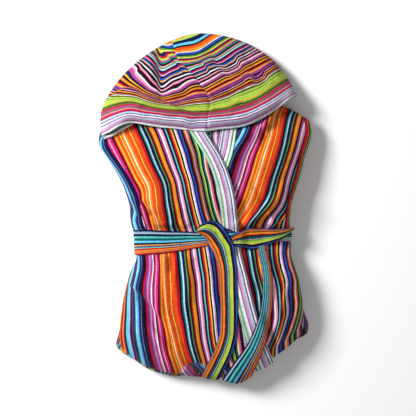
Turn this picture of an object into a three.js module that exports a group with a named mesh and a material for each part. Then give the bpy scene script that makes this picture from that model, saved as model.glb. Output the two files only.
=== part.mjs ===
// A hooded terry dressing gown, folded into a bundle, tied with its own belt and laid on its back on a flat surface.
// Millimetres. +Z is up from the surface, +Y runs towards the hood and +X to the right of someone looking down on it.
// The fronts wrap over a rounded solid of hidden layers; the hood lies forward over the neck; the belt goes round it all.
import * as THREE from "three";

// ---- Driving dimensions ----
const TERRY = 2.6; // one layer of cloth
const SEAM_GAP = 0.6; // between two pieces that touch
const BAND_CLOTH = 2.2; // the turned strip sewn along a front edge
const BAND_WIDTH = 30;
const BELT_CLOTH = 4.2; // the belt is a strip doubled and turned
const RIM_HEIGHT = 30; // the bundle is widest here, and its fronts end here
const RIM_TUCK = 5; // how far the front cloth turns in below the rim
const LAP_LIFT = 6.6; // the lapped front rides this far up on the front below it
const LAP_WIDTH = 70; // how far the fronts overlap
const LAP_EASE = 45; // over which the lapped front comes down again
const FOLD_ROOM = 6; // left between the hidden layers and the fronts for folds
const LAYER_INSET = 3.2; // and at the rim
const HOOD_ROOM = 0.9; // between the hood's cloth and its hidden layers
const CORNER_ROUND = 0.04; // share by which the bundle's corners are cut
const SIDE_POWER = 5; // how square the bundle is across
const END_POWER = 6; // and along
const ROUND_POWER = 2.2;

// ---- The bundle: half outlines at the rim, and the height of its middle, at stations from the shoulders down ----
const SIDES = [
  { y: 200, left: -233, right: 238 },
  { y: 165, left: -238, right: 237 },
  { y: 140, left: -235, right: 229 },
  { y: 110, left: -214, right: 218 },
  { y: 75, left: -190, right: 209 },
  { y: 40, left: -173, right: 198 },
  { y: 0, left: -162, right: 187 },
  { y: -35, left: -158, right: 184 },
  { y: -75, left: -147, right: 185 },
  { y: -112, left: -148, right: 190 },
  { y: -150, left: -163, right: 203 },
  { y: -200, left: -176, right: 214 },
  { y: -260, left: -186, right: 222 },
  { y: -315, left: -194, right: 227 },
];
const CROWN = [
  { y: 240, height: 46 },
  { y: 190, height: 60 },
  { y: 140, height: 71 },
  { y: 80, height: 77 },
  { y: 20, height: 74 },
  { y: -35, height: 61 },
  { y: -78, height: 52 },
  { y: -120, height: 62 },
  { y: -170, height: 75 },
  { y: -250, height: 78 },
  { y: -320, height: 72 },
  { y: -390, height: 64 },
];
// Its two ends, across its width from share -1 (left) to 1 (right).
const ENDS = [
  { share: -1, top: 166, bottom: -312 },
  { share: -0.85, top: 186, bottom: -335 },
  { share: -0.65, top: 204, bottom: -357 },
  { share: -0.4, top: 223, bottom: -368 },
  { share: -0.15, top: 233, bottom: -370 },
  { share: 0.05, top: 235, bottom: -377 },
  { share: 0.25, top: 236, bottom: -377 },
  { share: 0.45, top: 234, bottom: -359 },
  { share: 0.65, top: 226, bottom: -334 },
  { share: 0.85, top: 210, bottom: -307 },
  { share: 1, top: 190, bottom: -280 },
];

// ---- Where the cloth's edges run, as x at y ----
const FRONT_EDGE = [
  { y: 235, x: -44 },
  { y: 165, x: -4 },
  { y: 102, x: 35 },
  { y: 70, x: 49 },
  { y: 14, x: 63 },
  { y: -46, x: 70 },
  { y: -90, x: 74 },
  { y: -164, x: 91 },
  { y: -255, x: 115 },
  { y: -345, x: 146 },
];
// How much of each sleeve's folded edge shows beside the fronts. Below the belt the fronts reach the rim.
const SLEEVE_SHOWS = [
  { y: 200, left: 48, right: 10 },
  { y: 154, left: 33, right: 10 },
  { y: 135, left: 15, right: 10 },
  { y: 118, left: 10, right: 10 },
  { y: 80, left: 12, right: 9 },
  { y: 25, left: 18, right: 8 },
  { y: -13, left: 22, right: 8 },
  { y: -62, left: 24, right: 9 },
];
const SLEEVE_END = -72; // both edges stop under the belt
const FRONT_WIDENS = -104; // from here up the fronts draw in from the rim
const TURNED = 1.1; // a share across past the rim, where the cloth is turned in

// ---- Folds in the fronts: ridges (height above 0) and creases (below 0), each side of the line with its own width ----
const FRONT_FOLDS = [
  { name: "roll beside the lap", from: [-44, 150], to: [8, -30], bow: -6, height: 5, left: 16, right: 11 },
  { name: "crease beside the roll", from: [-24, 150], to: [24, -34], bow: -5, height: -3, left: 10, right: 10 },
  { name: "chest swell, left", from: [-150, 120], to: [-80, -20], bow: 8, height: 4, left: 34, right: 30 },
  { name: "fold onto the belt, left", from: [-160, 30], to: [-92, -46], bow: -5, height: 7, left: 13, right: 8 },
  { name: "small fold onto the belt", from: [-60, 0], to: [-42, -48], bow: 2, height: 3.5, left: 10, right: 9 },
  { name: "hem sweep, left", from: [-146, -215], to: [-52, -332], bow: -12, height: 7, left: 16, right: 9 },
  { name: "drop from the belt, left", from: [-92, -112], to: [-98, -225], bow: -5, height: 6, left: 9, right: 14 },
  { name: "side pleat", from: [-136, -118], to: [-156, -240], bow: -7, height: 5, left: 12, right: 9 },
  { name: "pleat under the belt", from: [-40, -108], to: [-34, -210], bow: 3, height: 5, left: 10, right: 10 },
  { name: "pleat beside the tail", from: [4, -108], to: [22, -260], bow: 4, height: 5, left: 12, right: 9 },
  { name: "long soft fold", from: [-66, -150], to: [-20, -345], bow: 6, height: 4, left: 18, right: 14 },
  { name: "collar crease", from: [104, 176], to: [56, 88], bow: -5, height: 6, left: 11, right: 18 },
  { name: "neck tuck", from: [112, 148], to: [150, 192], bow: 3, height: 6, left: 10, right: 9 },
  { name: "chest swell, right", from: [168, 140], to: [120, 20], bow: -8, height: 4, left: 30, right: 30 },
  { name: "fold onto the belt, right", from: [168, 34], to: [82, -38], bow: 12, height: 9, left: 12, right: 16 },
  { name: "side fold above the belt", from: [188, 4], to: [132, -44], bow: 6, height: 5, left: 10, right: 10 },
  { name: "drop from the belt, right", from: [112, -108], to: [118, -190], bow: 4, height: -4, left: 9, right: 9 },
  { name: "right hem fold", from: [168, -190], to: [150, -325], bow: 8, height: 6, left: 15, right: 12 },
  { name: "right side roll", from: [196, -120], to: [206, -270], bow: 3, height: 4, left: 12, right: 10 },
];
const FOLD_FADE = 14; // folds run out within this of the belt
const FOLD_UNDER_BELT = 0.12;

// ---- The belt ----
const BELT_TOP_LEFT = [
  { x: -160, top: -52, bottom: -109 },
  { x: -120, top: -52, bottom: -107 },
  { x: -78, top: -54, bottom: -103 },
  { x: -21, top: -55, bottom: -94 },
  { x: 30, top: -54, bottom: -86 },
];
const BELT_TOP_RIGHT = [
  { x: 53, top: -73, bottom: -86 },
  { x: 59, top: -70, bottom: -88 },
  { x: 73, top: -58, bottom: -92 },
  { x: 86, top: -52, bottom: -94 },
  { x: 103, top: -48, bottom: -96 },
  { x: 126, top: -48, bottom: -90 },
  { x: 148, top: -49, bottom: -80 },
  { x: 168, top: -49, bottom: -70 },
  { x: 186, top: -47, bottom: -54 },
];
const BELT_TURN = [
  { x: 160, top: -50, bottom: -77 },
  { x: 175, top: -50, bottom: -78 },
  { x: 200, top: -53, bottom: -76 },
];
// The tails' middle lines, from the knot down, each with the strip's width there.
const TAIL_OVER = [
  { x: -12, y: -47, width: 12 },
  { x: -2, y: -43, width: 22 },
  { x: 8, y: -42, width: 31 },
  { x: 19, y: -48, width: 40 },
  { x: 28, y: -62, width: 45 },
  { x: 35, y: -79, width: 47 },
  { x: 43, y: -98, width: 43 },
  { x: 49, y: -119, width: 38 },
  { x: 52, y: -145, width: 37 },
  { x: 52, y: -175, width: 37 },
  { x: 53, y: -225, width: 37 },
  { x: 52, y: -269, width: 37 },
  { x: 44, y: -308, width: 37 },
  { x: 29, y: -343, width: 38 },
  { x: 6, y: -390, width: 37 },
];
const TAIL_UNDER = [
  { x: 127, y: -102, width: 18 },
  { x: 134, y: -136, width: 20 },
  { x: 137, y: -178, width: 21 },
  { x: 134, y: -220, width: 23 },
  { x: 122, y: -269, width: 30 },
  { x: 106, y: -308, width: 35 },
  { x: 84, y: -346, width: 41 },
  { x: 58, y: -388, width: 44 },
];
const PAST_RIM = 13; // a tail that reaches this far past the hem fold is turned in under it
const BELT_AT = -78; // the belt's middle
const BELT_HALF = 24;
const BELT_LIFT = 1; // over the cloth below it
const BELT_REACH = 4.6; // its middle stands this far past the rim
const BELT_CORNER = 9; // how widely it turns under the bundle
const BELT_CHANNEL = 5.4; // how far the belt presses up into the bundle's underside

// ---- The hood: its halves meet at a seam; each row is a line of the cloth's grain, from the brim up ----
const HOOD_GRAIN = [
  { rise: 0, seam: [7, 165], left: [-221, 152], right: [205, 246], dipLeft: 16, dipRight: -22 },
  { rise: 0.12, seam: [6, 186], left: [-229, 178], right: [201, 262], dipLeft: 12, dipRight: -20 },
  { rise: 0.25, seam: [9, 204], left: [-228, 207], right: [192, 283], dipLeft: 10, dipRight: -16 },
  { rise: 0.36, seam: [12, 218], left: [-220, 231], right: [180, 301], dipLeft: -4, dipRight: -10 },
  { rise: 0.5, seam: [6, 243], left: [-197, 271], right: [156, 325], dipLeft: -16, dipRight: -2 },
  { rise: 0.6, seam: [-8, 264], left: [-176, 301], right: [134, 343], dipLeft: -19, dipRight: 0 },
  { rise: 0.72, seam: [-27, 291], left: [-152, 329], right: [101, 361], dipLeft: -12, dipRight: -6 },
  { rise: 0.86, seam: [-58, 322], left: [-124, 352], right: [58, 376], dipLeft: -5, dipRight: -12 },
  { rise: 0.94, seam: [-67, 347], left: [-100, 366], right: [20, 383], dipLeft: -2, dipRight: -6 },
  { rise: 1, seam: [-71, 370], left: [-82, 373], right: [-24, 385], dipLeft: 0, dipRight: 0 },
];
const HOOD_DOME = { x: -12, y: 200, left: 218, right: 221, top: 185, leftPower: 1.58, rightPower: 2.02 };
const HOOD_CROWN = [
  { y: 150, height: 87 },
  { y: 175, height: 89 },
  { y: 205, height: 88 },
  { y: 245, height: 79 },
  { y: 290, height: 65 },
  { y: 340, height: 50 },
  { y: 390, height: 38 },
];
const HOOD_RIM = [
  { y: 150, left: 47, right: 56 },
  { y: 175, left: 44, right: 56 },
  { y: 200, left: 34, right: 51 },
  { y: 225, left: 23, right: 42 },
  { y: 250, left: 18, right: 31 },
  { y: 275, left: 17, right: 21 },
  { y: 300, left: 17, right: 17 },
  { y: 390, left: 17, right: 17 },
];
const HOOD_FOLDS = [
  { name: "crease beside the seam", from: [-103, 366], to: [-94, 236], bow: 0, height: -7, left: 11, right: 9 },
  { name: "tuck above the brim", from: [-206, 246], to: [-26, 202], bow: 16, height: -8, left: 9, right: 8 },
  { name: "brim roll, left", from: [-214, 190], to: [-20, 178], bow: 12, height: 5, left: 18, right: 20 },
  { name: "seam ridge", from: [10, 214], to: [-66, 352], bow: 10, height: 2.5, left: 7, right: 9 },
  { name: "sag at the crown", from: [-36, 300], to: [96, 292], bow: -6, height: -5, left: 14, right: 12 },
  { name: "brim roll, right", from: [14, 182], to: [188, 246], bow: -8, height: 4, left: 16, right: 18 },
];
const BRIM_TURN = 13; // how far the brim turns down at most
const BRIM_REST = 1.3;
const HOOD_TURN_ROWS = [0, 0.015, 0.04, 0.09];
const BRIM_LIP = [
  { x: -222, outer: 147, inner: 160 },
  { x: -204, outer: 152, inner: 168 },
  { x: -186, outer: 163, inner: 180 },
  { x: -168, outer: 172, inner: 188 },
  { x: -150, outer: 177, inner: 190 },
];

// Where lower layers of the folded skirt show past the fronts.
const LAYER_CORNERS = [
  { x: -190, y: -312, reach: 12, spread: 30 },
  { x: 228, y: -272, reach: 18, spread: 32 },
  { x: -80, y: -368, reach: 11, spread: 80 },
];
// The edge of the folded layers below the rim: height, reach past the rim, and how much of a corner's reach it takes.
const LAYER_EDGE = [
  { height: 27.5, reach: -3.9, corner: 0 },
  { height: 23.4, reach: -4, corner: 0.2 },
  { height: 21.2, reach: -0.8, corner: 0.7 },
  { height: 18.6, reach: 0.8, corner: 0.8 },
  { height: 16, reach: -0.6, corner: 0.8 },
  { height: 14.7, reach: -3.4, corner: 0.7 },
  { height: 13.2, reach: -0.6, corner: 0.9 },
  { height: 10.8, reach: 1, corner: 1 },
  { height: 8.4, reach: -0.4, corner: 0.9 },
  { height: 7.1, reach: -3.2, corner: 0.7 },
  { height: 5.6, reach: -0.6, corner: 0.8 },
  { height: 3.2, reach: 0.8, corner: 0.8 },
  { height: 1, reach: -0.6, corner: 0.7 },
];
const UNDERSIDE = { height: 0, reach: -3.6, corner: 0.6 };
const HOOD_EDGE = [
  { height: 11.6, reach: -2.6, corner: 0 },
  { height: 9.4, reach: -0.6, corner: 0 },
  { height: 7.6, reach: -2.4, corner: 0 },
  { height: 4, reach: -0.5, corner: 0 },
  { height: 1, reach: -1.4, corner: 0 },
];

// ---- Small mathematics ----
const mix = (a, b, t) => a + (b - a) * t;
const clamp = (t, low = 0, high = 1) => Math.min(high, Math.max(low, t));
const ease = (t) => {
  const s = clamp(t);
  return s * s * (3 - 2 * s);
};
const add = (a, b, k = 1) => [a[0] + b[0] * k, a[1] + b[1] * k, a[2] + b[2] * k];
const lessThan = (a, b) => [a[0] - b[0], a[1] - b[1], a[2] - b[2]];
const cross = (a, b) => [a[1] * b[2] - a[2] * b[1], a[2] * b[0] - a[0] * b[2], a[0] * b[1] - a[1] * b[0]];
const unit = (a) => {
  const size = Math.hypot(...a) || 1;
  return a.map((v) => v / size);
};

// A smooth line through a table's rows: value(column "of") at a place in column "by". Past its ends it stays level.
function smoothColumn(rows, by, of) {
  const table = rows.map((row) => [row[by], of(row)]).sort((a, b) => a[0] - b[0]);
  const steps = table.slice(1).map((row, i) => (row[1] - table[i][1]) / (row[0] - table[i][0]));
  const slopes = table.map((_, i) => {
    if (i === 0) return steps[0];
    if (i === steps.length) return steps[i - 1];
    if (steps[i - 1] * steps[i] <= 0) return 0;
    return (2 * steps[i - 1] * steps[i]) / (steps[i - 1] + steps[i]);
  });
  return (at) => {
    const t = clamp(at, table[0][0], table[table.length - 1][0]);
    let i = table.findIndex((row) => row[0] >= t);
    i = Math.max(1, i) - 1;
    const span = table[i + 1][0] - table[i][0];
    const s = (t - table[i][0]) / span;
    const rise = (slopes[i] * s * (1 - s) ** 2 - slopes[i + 1] * s * s * (1 - s)) * span;
    return mix(table[i][1], table[i + 1][1], s * s * (3 - 2 * s)) + rise;
  };
}

const leftAt = smoothColumn(SIDES, "y", (r) => r.left);
const rightAt = smoothColumn(SIDES, "y", (r) => r.right);
const crownAt = smoothColumn(CROWN, "y", (r) => r.height);
const topAt = smoothColumn(ENDS, "share", (r) => r.top);
const bottomAt = smoothColumn(ENDS, "share", (r) => r.bottom);
const frontEdgeAt = smoothColumn(FRONT_EDGE, "y", (r) => r.x);
const sleeveLeftAt = smoothColumn(SLEEVE_SHOWS, "y", (r) => r.left);
const sleeveRightAt = smoothColumn(SLEEVE_SHOWS, "y", (r) => r.right);

// ---- The bundle's skin: a place on it is a share across (-1 left to 1 right) and along (-1 hem fold to 1 shoulders) ----
function planOf(across, along) {
  const p = clamp(across, -1, 1) * (1 - CORNER_ROUND * Math.abs(clamp(along, -1, 1)) ** 8);
  const q = clamp(along, -1, 1) * (1 - CORNER_ROUND * Math.abs(clamp(across, -1, 1)) ** 8);
  const share = (q + 1) / 2;
  const left = leftAt(mix(bottomAt(-1), topAt(-1), share));
  const right = rightAt(mix(bottomAt(1), topAt(1), share));
  return [mix(left, right, (p + 1) / 2), mix(bottomAt(p), topAt(p), share)];
}

// The share across at which the skin is over a given x, at a share along.
function acrossAt(x, along) {
  let low = -1;
  let high = 1;
  for (let i = 0; i < 26; i++) {
    const middle = (low + high) / 2;
    if (planOf(middle, along)[0] < x) low = middle;
    else high = middle;
  }
  return (low + high) / 2;
}

// The same for an x that depends on y.
function acrossLine(lineAt, along) {
  let p = 0;
  for (let i = 0; i < 12; i++) p = acrossAt(lineAt(planOf(p, along)[1]), along);
  return p;
}

// The share along at which the skin is over a given y, at a share across.
function alongAt(y, across) {
  let low = -1;
  let high = 1;
  for (let i = 0; i < 26; i++) {
    const middle = (low + high) / 2;
    if (planOf(across, middle)[1] < y) low = middle;
    else high = middle;
  }
  return (low + high) / 2;
}

const rounding = (share, power) => (1 - Math.abs(clamp(share, -1, 1)) ** power) ** (1 / ROUND_POWER);

// A fold's height at a place: it swells along its line and falls away to each side.
function foldHeight(fold, x, y) {
  const [x0, y0] = fold.from;
  const [dx, dy] = [fold.to[0] - x0, fold.to[1] - y0];
  const length = Math.hypot(dx, dy);
  const t = ((x - x0) * dx + (y - y0) * dy) / length ** 2;
  if (t <= -0.25 || t >= 1.25) return 0;
  const aside = ((x - x0) * -dy + (y - y0) * dx) / length - fold.bow * 4 * t * (1 - t);
  // Looking from "from" to "to", a positive distance aside is to the left hand.
  const width = aside > 0 ? fold.right : fold.left;
  const swell = ease((t + 0.25) / 0.45) * ease((1.25 - t) / 0.45);
  return fold.height * swell * Math.exp(-((aside / width) ** 2));
}

const beltPress = (y) => mix(FOLD_UNDER_BELT, 1, ease((Math.abs(y - BELT_AT) - BELT_HALF - 2) / FOLD_FADE));
const frontFolds = (x, y) => beltPress(y) * FRONT_FOLDS.reduce((sum, fold) => sum + foldHeight(fold, x, y), 0);

function skin(across, along, folded = true) {
  const [x, y] = planOf(across, along);
  const dome = rounding(across, SIDE_POWER) * rounding(along, END_POWER);
  const tuck = Math.max(0, Math.abs(across) - 1, Math.abs(along) - 1) / 0.1;
  const z = mix(RIM_HEIGHT, crownAt(y), dome) + (folded ? frontFolds(x, y) * ease(dome * 1.4) : 0);
  const inward = [x, y, 0].map((v) => (-v / Math.hypot(x, y)) * tuck * 1.6);
  return [x + inward[0], y + inward[1], z - RIM_TUCK * tuck];
}

// A point on the skin moved out along its normal.
function onSkin(across, along, offset, folded = true) {
  const step = 0.004;
  const a = clamp(across, -1, 1);
  const b = clamp(along, -1, 1);
  const alongX = lessThan(skin(Math.min(1, a + step), b, folded), skin(Math.max(-1, a - step), b, folded));
  const alongY = lessThan(skin(a, Math.min(1, b + step), folded), skin(a, Math.max(-1, b - step), folded));
  return add(skin(across, along, folded), unit(cross(alongX, alongY)), offset);
}

// Shares from 0 to 1 that crowd together at 0, where the skin turns down.
const crowd = (t, room = 0.15) => ((1 + room) * t * t) / (t + room);
const crowdBoth = (t) => (t < 0.5 ? crowd(2 * t, 0.12) / 2 : 1 - crowd(2 - 2 * t, 0.12) / 2);

// How high the lapped front's inner face stands over the skin, this far left of its edge.
const lapLift = (inside) => LAP_LIFT * ease(1 - (inside - LAP_WIDTH) / LAP_EASE);

// The top of all the front cloth, over the skin, as a belt or tail feels it.
function clothTop(x, y) {
  const inside = frontEdgeAt(y) - x;
  const under = TERRY + SEAM_GAP;
  const band = (SEAM_GAP + BAND_CLOTH) * ease(1 - (inside - BAND_WIDTH - 2) / 12);
  const over = lapLift(inside) + TERRY + SEAM_GAP + band;
  return mix(under, over, ease((inside + 27) / 22));
}

// ---- Closed solids from a top and a bottom sheet of points ----
function loopOf(nu, nv) {
  const loop = [];
  for (let i = 0; i < nu; i++) loop.push([i, 0]);
  for (let j = 0; j < nv; j++) loop.push([nu, j]);
  for (let i = nu; i > 0; i--) loop.push([i, nv]);
  for (let j = nv; j > 0; j--) loop.push([0, j]);
  return loop;
}

// A closed solid: a grid of top points, a grid of bottom points, and rows of points round the edge between them.
function slab(nu, nv, top, bottom, edgeRows = []) {
  const points = [];
  const faces = [];
  const grid = (sheet) => {
    const start = points.length;
    for (let j = 0; j <= nv; j++) for (let i = 0; i <= nu; i++) points.push(sheet(i / nu, j / nv, i, j));
    return (i, j) => start + j * (nu + 1) + i;
  };
  const quad = (a, b, c, d) => faces.push([a, b, c], [a, c, d]);
  const upper = grid(top);
  const lower = grid(bottom);
  const apart = (a, b) => Math.hypot(...lessThan(points[a], points[b]));
  for (let j = 0; j < nv; j++) {
    for (let i = 0; i < nu; i++) {
      const over = [upper(i, j), upper(i + 1, j), upper(i + 1, j + 1), upper(i, j + 1)];
      const under = [lower(i, j), lower(i + 1, j), lower(i + 1, j + 1), lower(i, j + 1)];
      // Both sheets are split along the shorter way over the cloth, so a fold isn't cut across.
      const turn = apart(over[0], over[2]) > apart(over[1], over[3]) ? 1 : 0;
      const turned = (corners) => corners.map((_, k) => corners[(k + turn) % 4]);
      quad(...turned(over));
      quad(...turned(under).reverse());
    }
  }
  const loop = loopOf(nu, nv);
  const rim = loop.map(([i, j]) => points[upper(i, j)]);
  let above = loop.map(([i, j]) => upper(i, j));
  const rings = edgeRows.map((row) => rim.map((point, k) => row(point, outwardOf(rim, k))));
  rings.forEach((ring) => {
    const start = points.length;
    points.push(...ring);
    const here = ring.map((_, k) => start + k);
    joinRings(above, here, quad);
    above = here;
  });
  joinRings(above, loop.map(([i, j]) => lower(i, j)), quad);
  return solidGeometry(points, faces);
}

function joinRings(above, below, quad) {
  above.forEach((_, k) => {
    const next = (k + 1) % above.length;
    quad(above[k], below[k], below[next], above[next]);
  });
}

// The way out from a loop of points, level with the ground.
function outwardOf(loop, k) {
  const n = loop.length;
  const ahead = loop[(k + 1) % n];
  const behind = loop[(k + n - 1) % n];
  const way = unit([ahead[1] - behind[1], behind[0] - ahead[0], 0]);
  return way;
}

function solidGeometry(points, faces) {
  const volume = faces.reduce((sum, [a, b, c]) => {
    const n = cross(points[b], points[c]);
    return sum + points[a][0] * n[0] + points[a][1] * n[1] + points[a][2] * n[2];
  }, 0);
  const index = faces.flatMap(([a, b, c]) => (volume < 0 ? [a, c, b] : [a, b, c]));
  const geometry = new THREE.BufferGeometry();
  geometry.setAttribute("position", new THREE.Float32BufferAttribute(points.flat(), 3));
  geometry.setIndex(index);
  geometry.computeVertexNormals();
  return geometry;
}

const edgeRow = (row, extra = () => 0) => (point, outward) => {
  const reach = row.reach + row.corner * extra(point);
  return [point[0] + outward[0] * reach, point[1] + outward[1] * reach, row.height];
};

// ---- Hidden layers ----
const cornerReach = ([x, y]) =>
  LAYER_CORNERS.reduce((sum, c) => sum + c.reach * Math.exp(-(((x - c.x) ** 2 + (y - c.y) ** 2) / c.spread ** 2)), 0);

// The grids of the folded layers crowd towards both sides, with a line at each edge of the belt's channel.
const bothSides = (t) => 2 * crowdBoth(t) - 1;
function layersAlong(share, i, j, rows) {
  const channel = [-BELT_HALF - 5, -BELT_HALF, 0, BELT_HALF, BELT_HALF + 5];
  const middle = Math.round(rows / 2) - 2;
  const at = (across) => channel.map((step) => alongAt(BELT_AT + step, across));
  return (across) => {
    const lines = at(across);
    if (j < middle) return mix(-1, lines[0], crowd(j / middle, 0.2));
    if (j > middle + 4) return mix(1, lines[4], crowd((rows - j) / (rows - middle - 4), 0.2));
    return lines[j - middle];
  };
}

function foldedLayers() {
  const [nu, nv] = [14, 24];
  const place = (u, v, i, j) => {
    const across = bothSides(u);
    return [across, layersAlong(v, i, j, nv)(across)];
  };
  const top = (u, v, i, j) => {
    const [across, along] = place(u, v, i, j);
    const dome = rounding(across, SIDE_POWER) * rounding(along, END_POWER);
    const point = onSkin(across, along, -LAYER_INSET, false);
    return [point[0], point[1], point[2] - FOLD_ROOM * dome];
  };
  const shrink = (point) => {
    const [x, y] = point;
    const size = Math.hypot(x, y);
    return [x - (x / size) * 9, y - (y / size) * 9];
  };
  const bottom = (u, v, i, j) => {
    const [across, along] = place(u, v, i, j);
    const [x, y] = shrink(planOf(across, along));
    const pressed = Math.abs(y - BELT_AT) < BELT_HALF + 3 || Math.abs(j - Math.round(nv / 2)) < 2;
    return [x, y, pressed ? BELT_CHANNEL : 0];
  };
  const rows = [...LAYER_EDGE, UNDERSIDE].map((row) => (point, outward) => {
    const near = ease((BELT_HALF + 12 - Math.abs(point[1] - BELT_AT)) / 14);
    const placed = edgeRow(row, cornerReach)(point, outward);
    const lowest = mix(placed[2], Math.max(placed[2], BELT_CHANNEL + row.height * 0.8), near);
    return [placed[0] - outward[0] * 4 * near, placed[1], lowest];
  });
  return slab(nu, nv, top, bottom, rows);
}

// ---- The fronts ----
const ROWS_ALONG = 40;
const alongRow = (v) => 1 - 2 * crowdBoth(v);

// The outer end of a front: beside the sleeve above the belt, and turned in at the rim below it.
function frontEnd(side, along) {
  const [x, y] = planOf(side, along);
  const shown = side < 0 ? sleeveLeftAt(y) : sleeveRightAt(y);
  return mix(side * TURNED, acrossAt(x - side * shown, along), ease((y - FRONT_WIDENS) / 42));
}
const overEdge = (along) => acrossLine(frontEdgeAt, along);
const underEdge = (along) => acrossLine((y) => Math.max(underEdgeAt(y), frontEdgeAt(y) - LAP_WIDTH + 8), along);

// Columns from a front's outer end to its edge; the last three are as wide as the band.
function frontColumn(i, columns, end, edge, bandShare) {
  const inner = edge + bandShare;
  if (i > columns - 3) return mix(inner, edge, (i - columns + 3) / 3);
  const t = i / (columns - 3);
  return mix(end, inner, Math.abs(end) > 1 ? crowd(t) : mix(crowd(t), t, 0.5));
}
const shareOf = (width, along) => (2 * width) / (planOf(1, along)[0] - planOf(-1, along)[0]);

function frontOver() {
  const columns = 20;
  const sheet = (offset) => (u, v, i) => {
    const along = alongRow(v);
    const across = frontColumn(i, columns, frontEnd(-1, along), overEdge(along), -shareOf(BAND_WIDTH, along));
    const [x, y] = planOf(across, along);
    return onSkin(across, along, lapLift(frontEdgeAt(y) - x) + offset);
  };
  return slab(columns, ROWS_ALONG, sheet(TERRY), sheet(0));
}

function frontUnder() {
  const columns = 15;
  const sheet = (offset) => (u, v, i) => {
    const along = alongRow(v);
    const across = frontColumn(i, columns, frontEnd(1, along), underEdge(along), shareOf(BAND_WIDTH, along));
    return onSkin(across, along, offset);
  };
  return slab(columns, ROWS_ALONG, sheet(TERRY), sheet(0));
}

// The front below shows its own edge in the neck opening, down to where the fronts cross.
const UNDER_EDGE = [
  { y: 235, x: 56 },
  { y: 168, x: 40 },
  { y: 119, x: 31 },
  { y: 70, x: 16 },
  { y: 10, x: 2 },
  { y: -90, x: -4 },
  { y: -345, x: 60 },
];
const underEdgeAt = smoothColumn(UNDER_EDGE, "y", (r) => r.x);

// A strip along the skin between two lines of shares across, through a list of shares along.
function strip(nu, alongs, lineLeft, lineRight, liftAt, thickness) {
  const sheet = (offset) => (u, v, i, j) => {
    const along = alongs[j];
    const across = mix(lineLeft(along), lineRight(along), u);
    const [x, y] = planOf(across, along);
    return onSkin(across, along, liftAt(x, y) + offset);
  };
  return slab(nu, alongs.length - 1, sheet(thickness), sheet(0));
}

const frontRows = Array.from({ length: ROWS_ALONG + 1 }, (_, j) => alongRow(j / ROWS_ALONG));

function bandOver() {
  const rise = (x, y) => lapLift(frontEdgeAt(y) - x) + TERRY + SEAM_GAP;
  const rows = frontRows.filter((along) => along < 0.97);
  const inner = (along) => overEdge(along) - shareOf(BAND_WIDTH, along);
  return strip(3, rows, inner, (along) => overEdge(along) - shareOf(0.6, along), rise, BAND_CLOTH);
}

function bandUnder() {
  const rows = frontRows.filter((along) => along < 0.93 && along > 0.42);
  const inner = (along) => underEdge(along) + shareOf(0.6, along);
  const outer = (along) => underEdge(along) + shareOf(BAND_WIDTH, along);
  return strip(3, rows, inner, outer, () => TERRY + SEAM_GAP + 0.4, BAND_CLOTH);
}

// The inside of the back shows in the neck opening.
function backNeck() {
  const rows = frontRows.filter((along) => along < 0.97 && along > 0.52);
  const left = (y) => Math.min(frontEdgeAt(y), underEdgeAt(y)) - 34;
  const right = (along) => underEdge(along) - shareOf(1, along);
  return strip(3, rows, (along) => acrossLine(left, along), right, () => 0, TERRY);
}

function sleeve(side) {
  const rows = frontRows.filter((along) => planOf(side, along)[1] > SLEEVE_END);
  const sheet = (offset) => (u, v, i, j) => {
    const along = rows[j];
    const seam = frontEnd(side, along) + side * 0.004;
    return onSkin(mix(side * TURNED, seam, crowd(u, 0.5)), along, offset);
  };
  return slab(4, rows.length - 1, sheet(TERRY), sheet(0));
}

// ---- The belt ----
// A stretch that runs across the bundle: x at each column, and its two edges there.
function beltAcross(rows, columns, lift, nv = 5) {
  const topY = smoothColumn(rows, "x", (r) => r.top);
  const bottomY = smoothColumn(rows, "x", (r) => r.bottom);
  const sheet = (height) => (u, v, i) => {
    const across = columns[i];
    const x = planOf(across, 0)[0];
    const along = alongAt(mix(topY(x), bottomY(x), v), across);
    const [px, py] = planOf(across, along);
    const round = 1 - 0.35 * Math.abs(2 * v - 1) ** 3;
    return onSkin(across, along, clothTop(px, py) + lift(px) + height * round);
  };
  return slab(columns.length - 1, nv, sheet(BELT_CLOTH), sheet(0));
}

const columnsBetween = (from, to, count) => Array.from({ length: count + 1 }, (_, i) => mix(from, to, i / count));
const beltLine = alongAt(BELT_AT, 0);

function beltLeft() {
  const end = acrossAt(26, beltLine);
  const edge = overEdge(beltLine);
  const columns = columnsBetween(0, 1, 20)
    .map((t) => mix(-TURNED, edge, crowd(t)))
    .filter((across) => across < end);
  return beltAcross(BELT_TOP_LEFT, columns, () => BELT_LIFT);
}

function beltRight() {
  const columns = columnsBetween(acrossAt(54, beltLine), acrossAt(180, beltLine), 10);
  // Its end lies over the turn of the belt that comes round the side.
  const lift = (x) => BELT_LIFT + (BELT_CLOTH + 3 * SEAM_GAP) * ease((x - 126) / 24);
  return beltAcross(BELT_TOP_RIGHT, columns, lift);
}

function beltTurn() {
  const inner = acrossAt(157, beltLine);
  const columns = columnsBetween(0, 1, 9).map((t) => mix(TURNED, inner, crowd(t, 0.4)));
  return beltAcross(BELT_TURN, columns, () => BELT_LIFT);
}

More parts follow.
